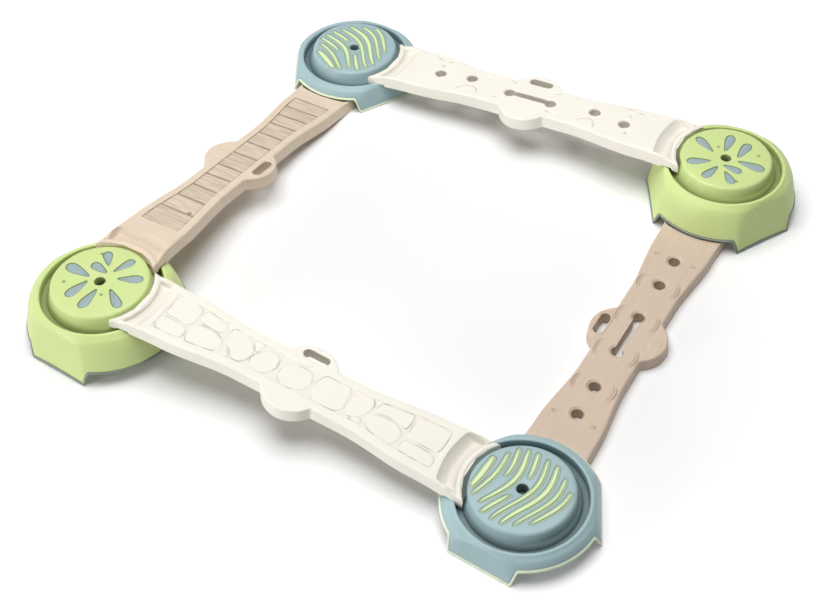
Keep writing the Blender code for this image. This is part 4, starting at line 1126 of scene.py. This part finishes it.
def buildBridge(name):
    s = bridgeShape
    row = bridgeRows[name]
    spot, length = bridgePlace(row)
    surface = deckSurface(row, length)
    deck = deckMesh(name, row, length, surface)

    slotLength, slotWidth, slotOffset = s["earSlot"]
    outlines = [slotOutline(length / 2, row["slotSide"] * slotOffset, slotLength, slotWidth / 2)]
    outlines += [circleAt(x, y, radius, 40) for x, y, radius in holeCentres(row, length)[:4]]
    if "shift" in row:
        neckAngle = math.asin(s["slotNeck"] / 2 / s["holeRadius"])
        outlines.append(slotOutline(length / 2, 0, s["slotLength"], s["holeRadius"], neckAngle, 24))
    high = s["cutAbove"]
    low = -s["depth"] - s["cutBelow"]
    cutters = [loftedMesh("hole", ((outline, high), (outlineMoved(outline, -s["holeTaper"]), low)))
               for outline in outlines]
    parts = [cutMesh(deck, joinedMesh("holes", cutters))]

    def wallAt(outline, level, out):
        # a hole's wall at a level, moved out by a distance
        return outlineMoved(outline, out - s["holeTaper"] * (high - level) / (high - low)), level

    for outline in outlines:
        top = roofHeight(row) + 0.0001
        bottom = -s["collarDepth"]
        parts.append(tubeMesh("collar", (
            wallAt(outline, top, 0.00002), wallAt(outline, -0.010, 0), wallAt(outline, bottom, 0),
            wallAt(outline, bottom, s["collarWall"]), wallAt(outline, top, s["collarWall"]))))
    deck = joinedMesh(name, parts)
    holeRims = [outlineMoved(outline, 0.0006) for outline in outlines]
    back = spot.inverted()
    for vertex in deck.vertices:
        world = spot @ vertex.co
        if world.z < s["floorGap"]:
            world.z = s["floorGap"]
            vertex.co = back @ world
    piece = placed(name + "_walkway", deck, spot, materials[row["finish"]], 42)

    # painted shade: from the deck's surface, and down the walls of the holes, darker the deeper
    def deckPaintedShade(point):
        if min(point.x, length - point.x) < s["scoopReach"]:
            return surface(point.x, point.y)[1] if point.z > s["scoopShadeLow"] else 0.0
        if point.z < s["holeTop"] and any(insideDistance(point.x, point.y, rim) > 0 for rim in holeRims):
            least, more = s["holeDark"]
            return least + more * clamp((s["holeTop"] - point.z) / s["holeFade"])
        return surface(point.x, point.y)[1] if point.z > s["deckShadeLow"] else 0.0

    def deckGrain(point):
        # the planks show it inside their panel, the logs on the whole top
        if point.z < s["grainLow"]:
            return 0.0
        if "panelStart" not in row:
            return 1.0
        fromEnd = min(point.x, length - point.x)
        return 1.0 if panelDistance(row, fromEnd, point.y) > 0 else s["borderGrain"]

    setShade(deck, "paintedShadeAndTone", deckPaintedShade)
    setShade(deck, "grain", deckGrain)
    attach(piece, row["body"])
    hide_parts(name + "_deck")
    print(name, "made:", len(deck.polygons), "faces")


for bridgeName in bridgeRows:
    buildBridge(bridgeName)

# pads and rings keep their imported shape
for nodeName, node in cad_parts.items():
    if nodeName.endswith("_pad") or nodeName.endswith("_ring"):
        node.data.materials.clear()
        node.data.materials.append(materials["rubber" if nodeName.endswith("_pad") else "ring"])
print("bridges made")


# floor, light and camera

def seenShare(tree):
    # 1 for rays that show the background: straight, mirrored or through something clear
    rays = tree.nodes.new("ShaderNodeLightPath").outputs
    seen = mathNode(tree, "ADD", rays["Is Camera Ray"], rays["Is Glossy Ray"])
    return mathNode(tree, "MINIMUM", mathNode(tree, "ADD", seen, rays["Is Transmission Ray"]), 1.0)


floorSettings = {"size": 14.0, "drop": 0.0006, "colour": (0.95, 0.95, 0.95, 1), "glow": (0.0, 1.0),
                 "glowReach": (0.50, 2.4355)}
bpy.ops.mesh.primitive_plane_add(size=floorSettings["size"], location=(0, 0, -floorSettings["drop"]))
floor = bpy.context.object
floor.name = "floor"
floorMaterial = bpy.data.materials.new("paleFloor")
floorMaterial.use_nodes = True
tree = floorMaterial.node_tree
shader = tree.nodes["Principled BSDF"]
shader.inputs["Base Color"].default_value = floorSettings["colour"]
shader.inputs["Roughness"].default_value = 0.9
shader.inputs["Specular IOR Level"].default_value = 0.0
spread = tree.nodes.new("ShaderNodeVectorMath")
spread.operation = "LENGTH"
tree.links.new(tree.nodes.new("ShaderNodeTexCoord").outputs["Object"], spread.inputs[0])
glow = rangeNode(tree, spread.outputs["Value"], *floorSettings["glowReach"], *floorSettings["glow"])
glow = mathNode(tree, "MULTIPLY", seenShare(tree), glow)
shader.inputs["Emission Color"].default_value = (1, 1, 1, 1)
tree.links.new(glow, shader.inputs["Emission Strength"])
floor.data.materials.append(floorMaterial)

skyStrength = 0.04
world = bpy.data.worlds.new("studio")
bpy.context.scene.world = world
world.use_nodes = True
tree = world.node_tree
sky = tree.nodes["Background"]
sky.inputs["Color"].default_value = (1, 1, 1, 1)
strength = mathNode(tree, "ADD", mathNode(tree, "MULTIPLY", seenShare(tree), 1 - skyStrength), skyStrength)
tree.links.new(strength, sky.inputs["Strength"])

lampRows = {
    # place, target, size, power in watts
    "keyLamp": ((-0.3, 0.1, 3.2), (0, 0, 0), 3.2, 122),
    "fillLamp": ((-2.7, -5.2, 0.70), (0, 0, 0.05), 2.4, 178),
}
for lampName, (spot, target, size, power) in lampRows.items():
    light = bpy.data.lights.new(lampName, "AREA")
    light.shape = "DISK"
    light.size = size
    light.energy = power
    lamp = bpy.data.objects.new(lampName, light)
    bpy.context.scene.collection.objects.link(lamp)
    lamp.location = spot
    lamp.rotation_euler = (Vector(target) - Vector(spot)).to_track_quat("-Z", "Y").to_euler()

cameraSettings = {"place": (1.06500, -1.76877, 2.10788), "heading": 29.547, "tilt": 42.485, "roll": -0.294,
                  "lens": 62.2589, "shift": (-0.051362, -0.000284)}
cameraData = bpy.data.cameras.new("photoCamera")
cameraData.sensor_width = 36
cameraData.sensor_fit = "HORIZONTAL"
cameraData.lens = cameraSettings["lens"]
cameraData.shift_x, cameraData.shift_y = cameraSettings["shift"]
camera = bpy.data.objects.new("photoCamera", cameraData)
bpy.context.scene.collection.objects.link(camera)
turns = [Matrix.Rotation(math.radians(cameraSettings[key]), 4, axis)
         for key, axis in (("heading", "Z"), ("tilt", "X"), ("roll", "Z"))]
camera.matrix_world = Matrix.Translation(cameraSettings["place"]) @ turns[0] @ turns[1] @ turns[2]
bpy.context.scene.camera = camera
bpy.context.scene.view_settings.view_transform = "Standard"
print("stage ready")

bpy.context.view_layer.update()
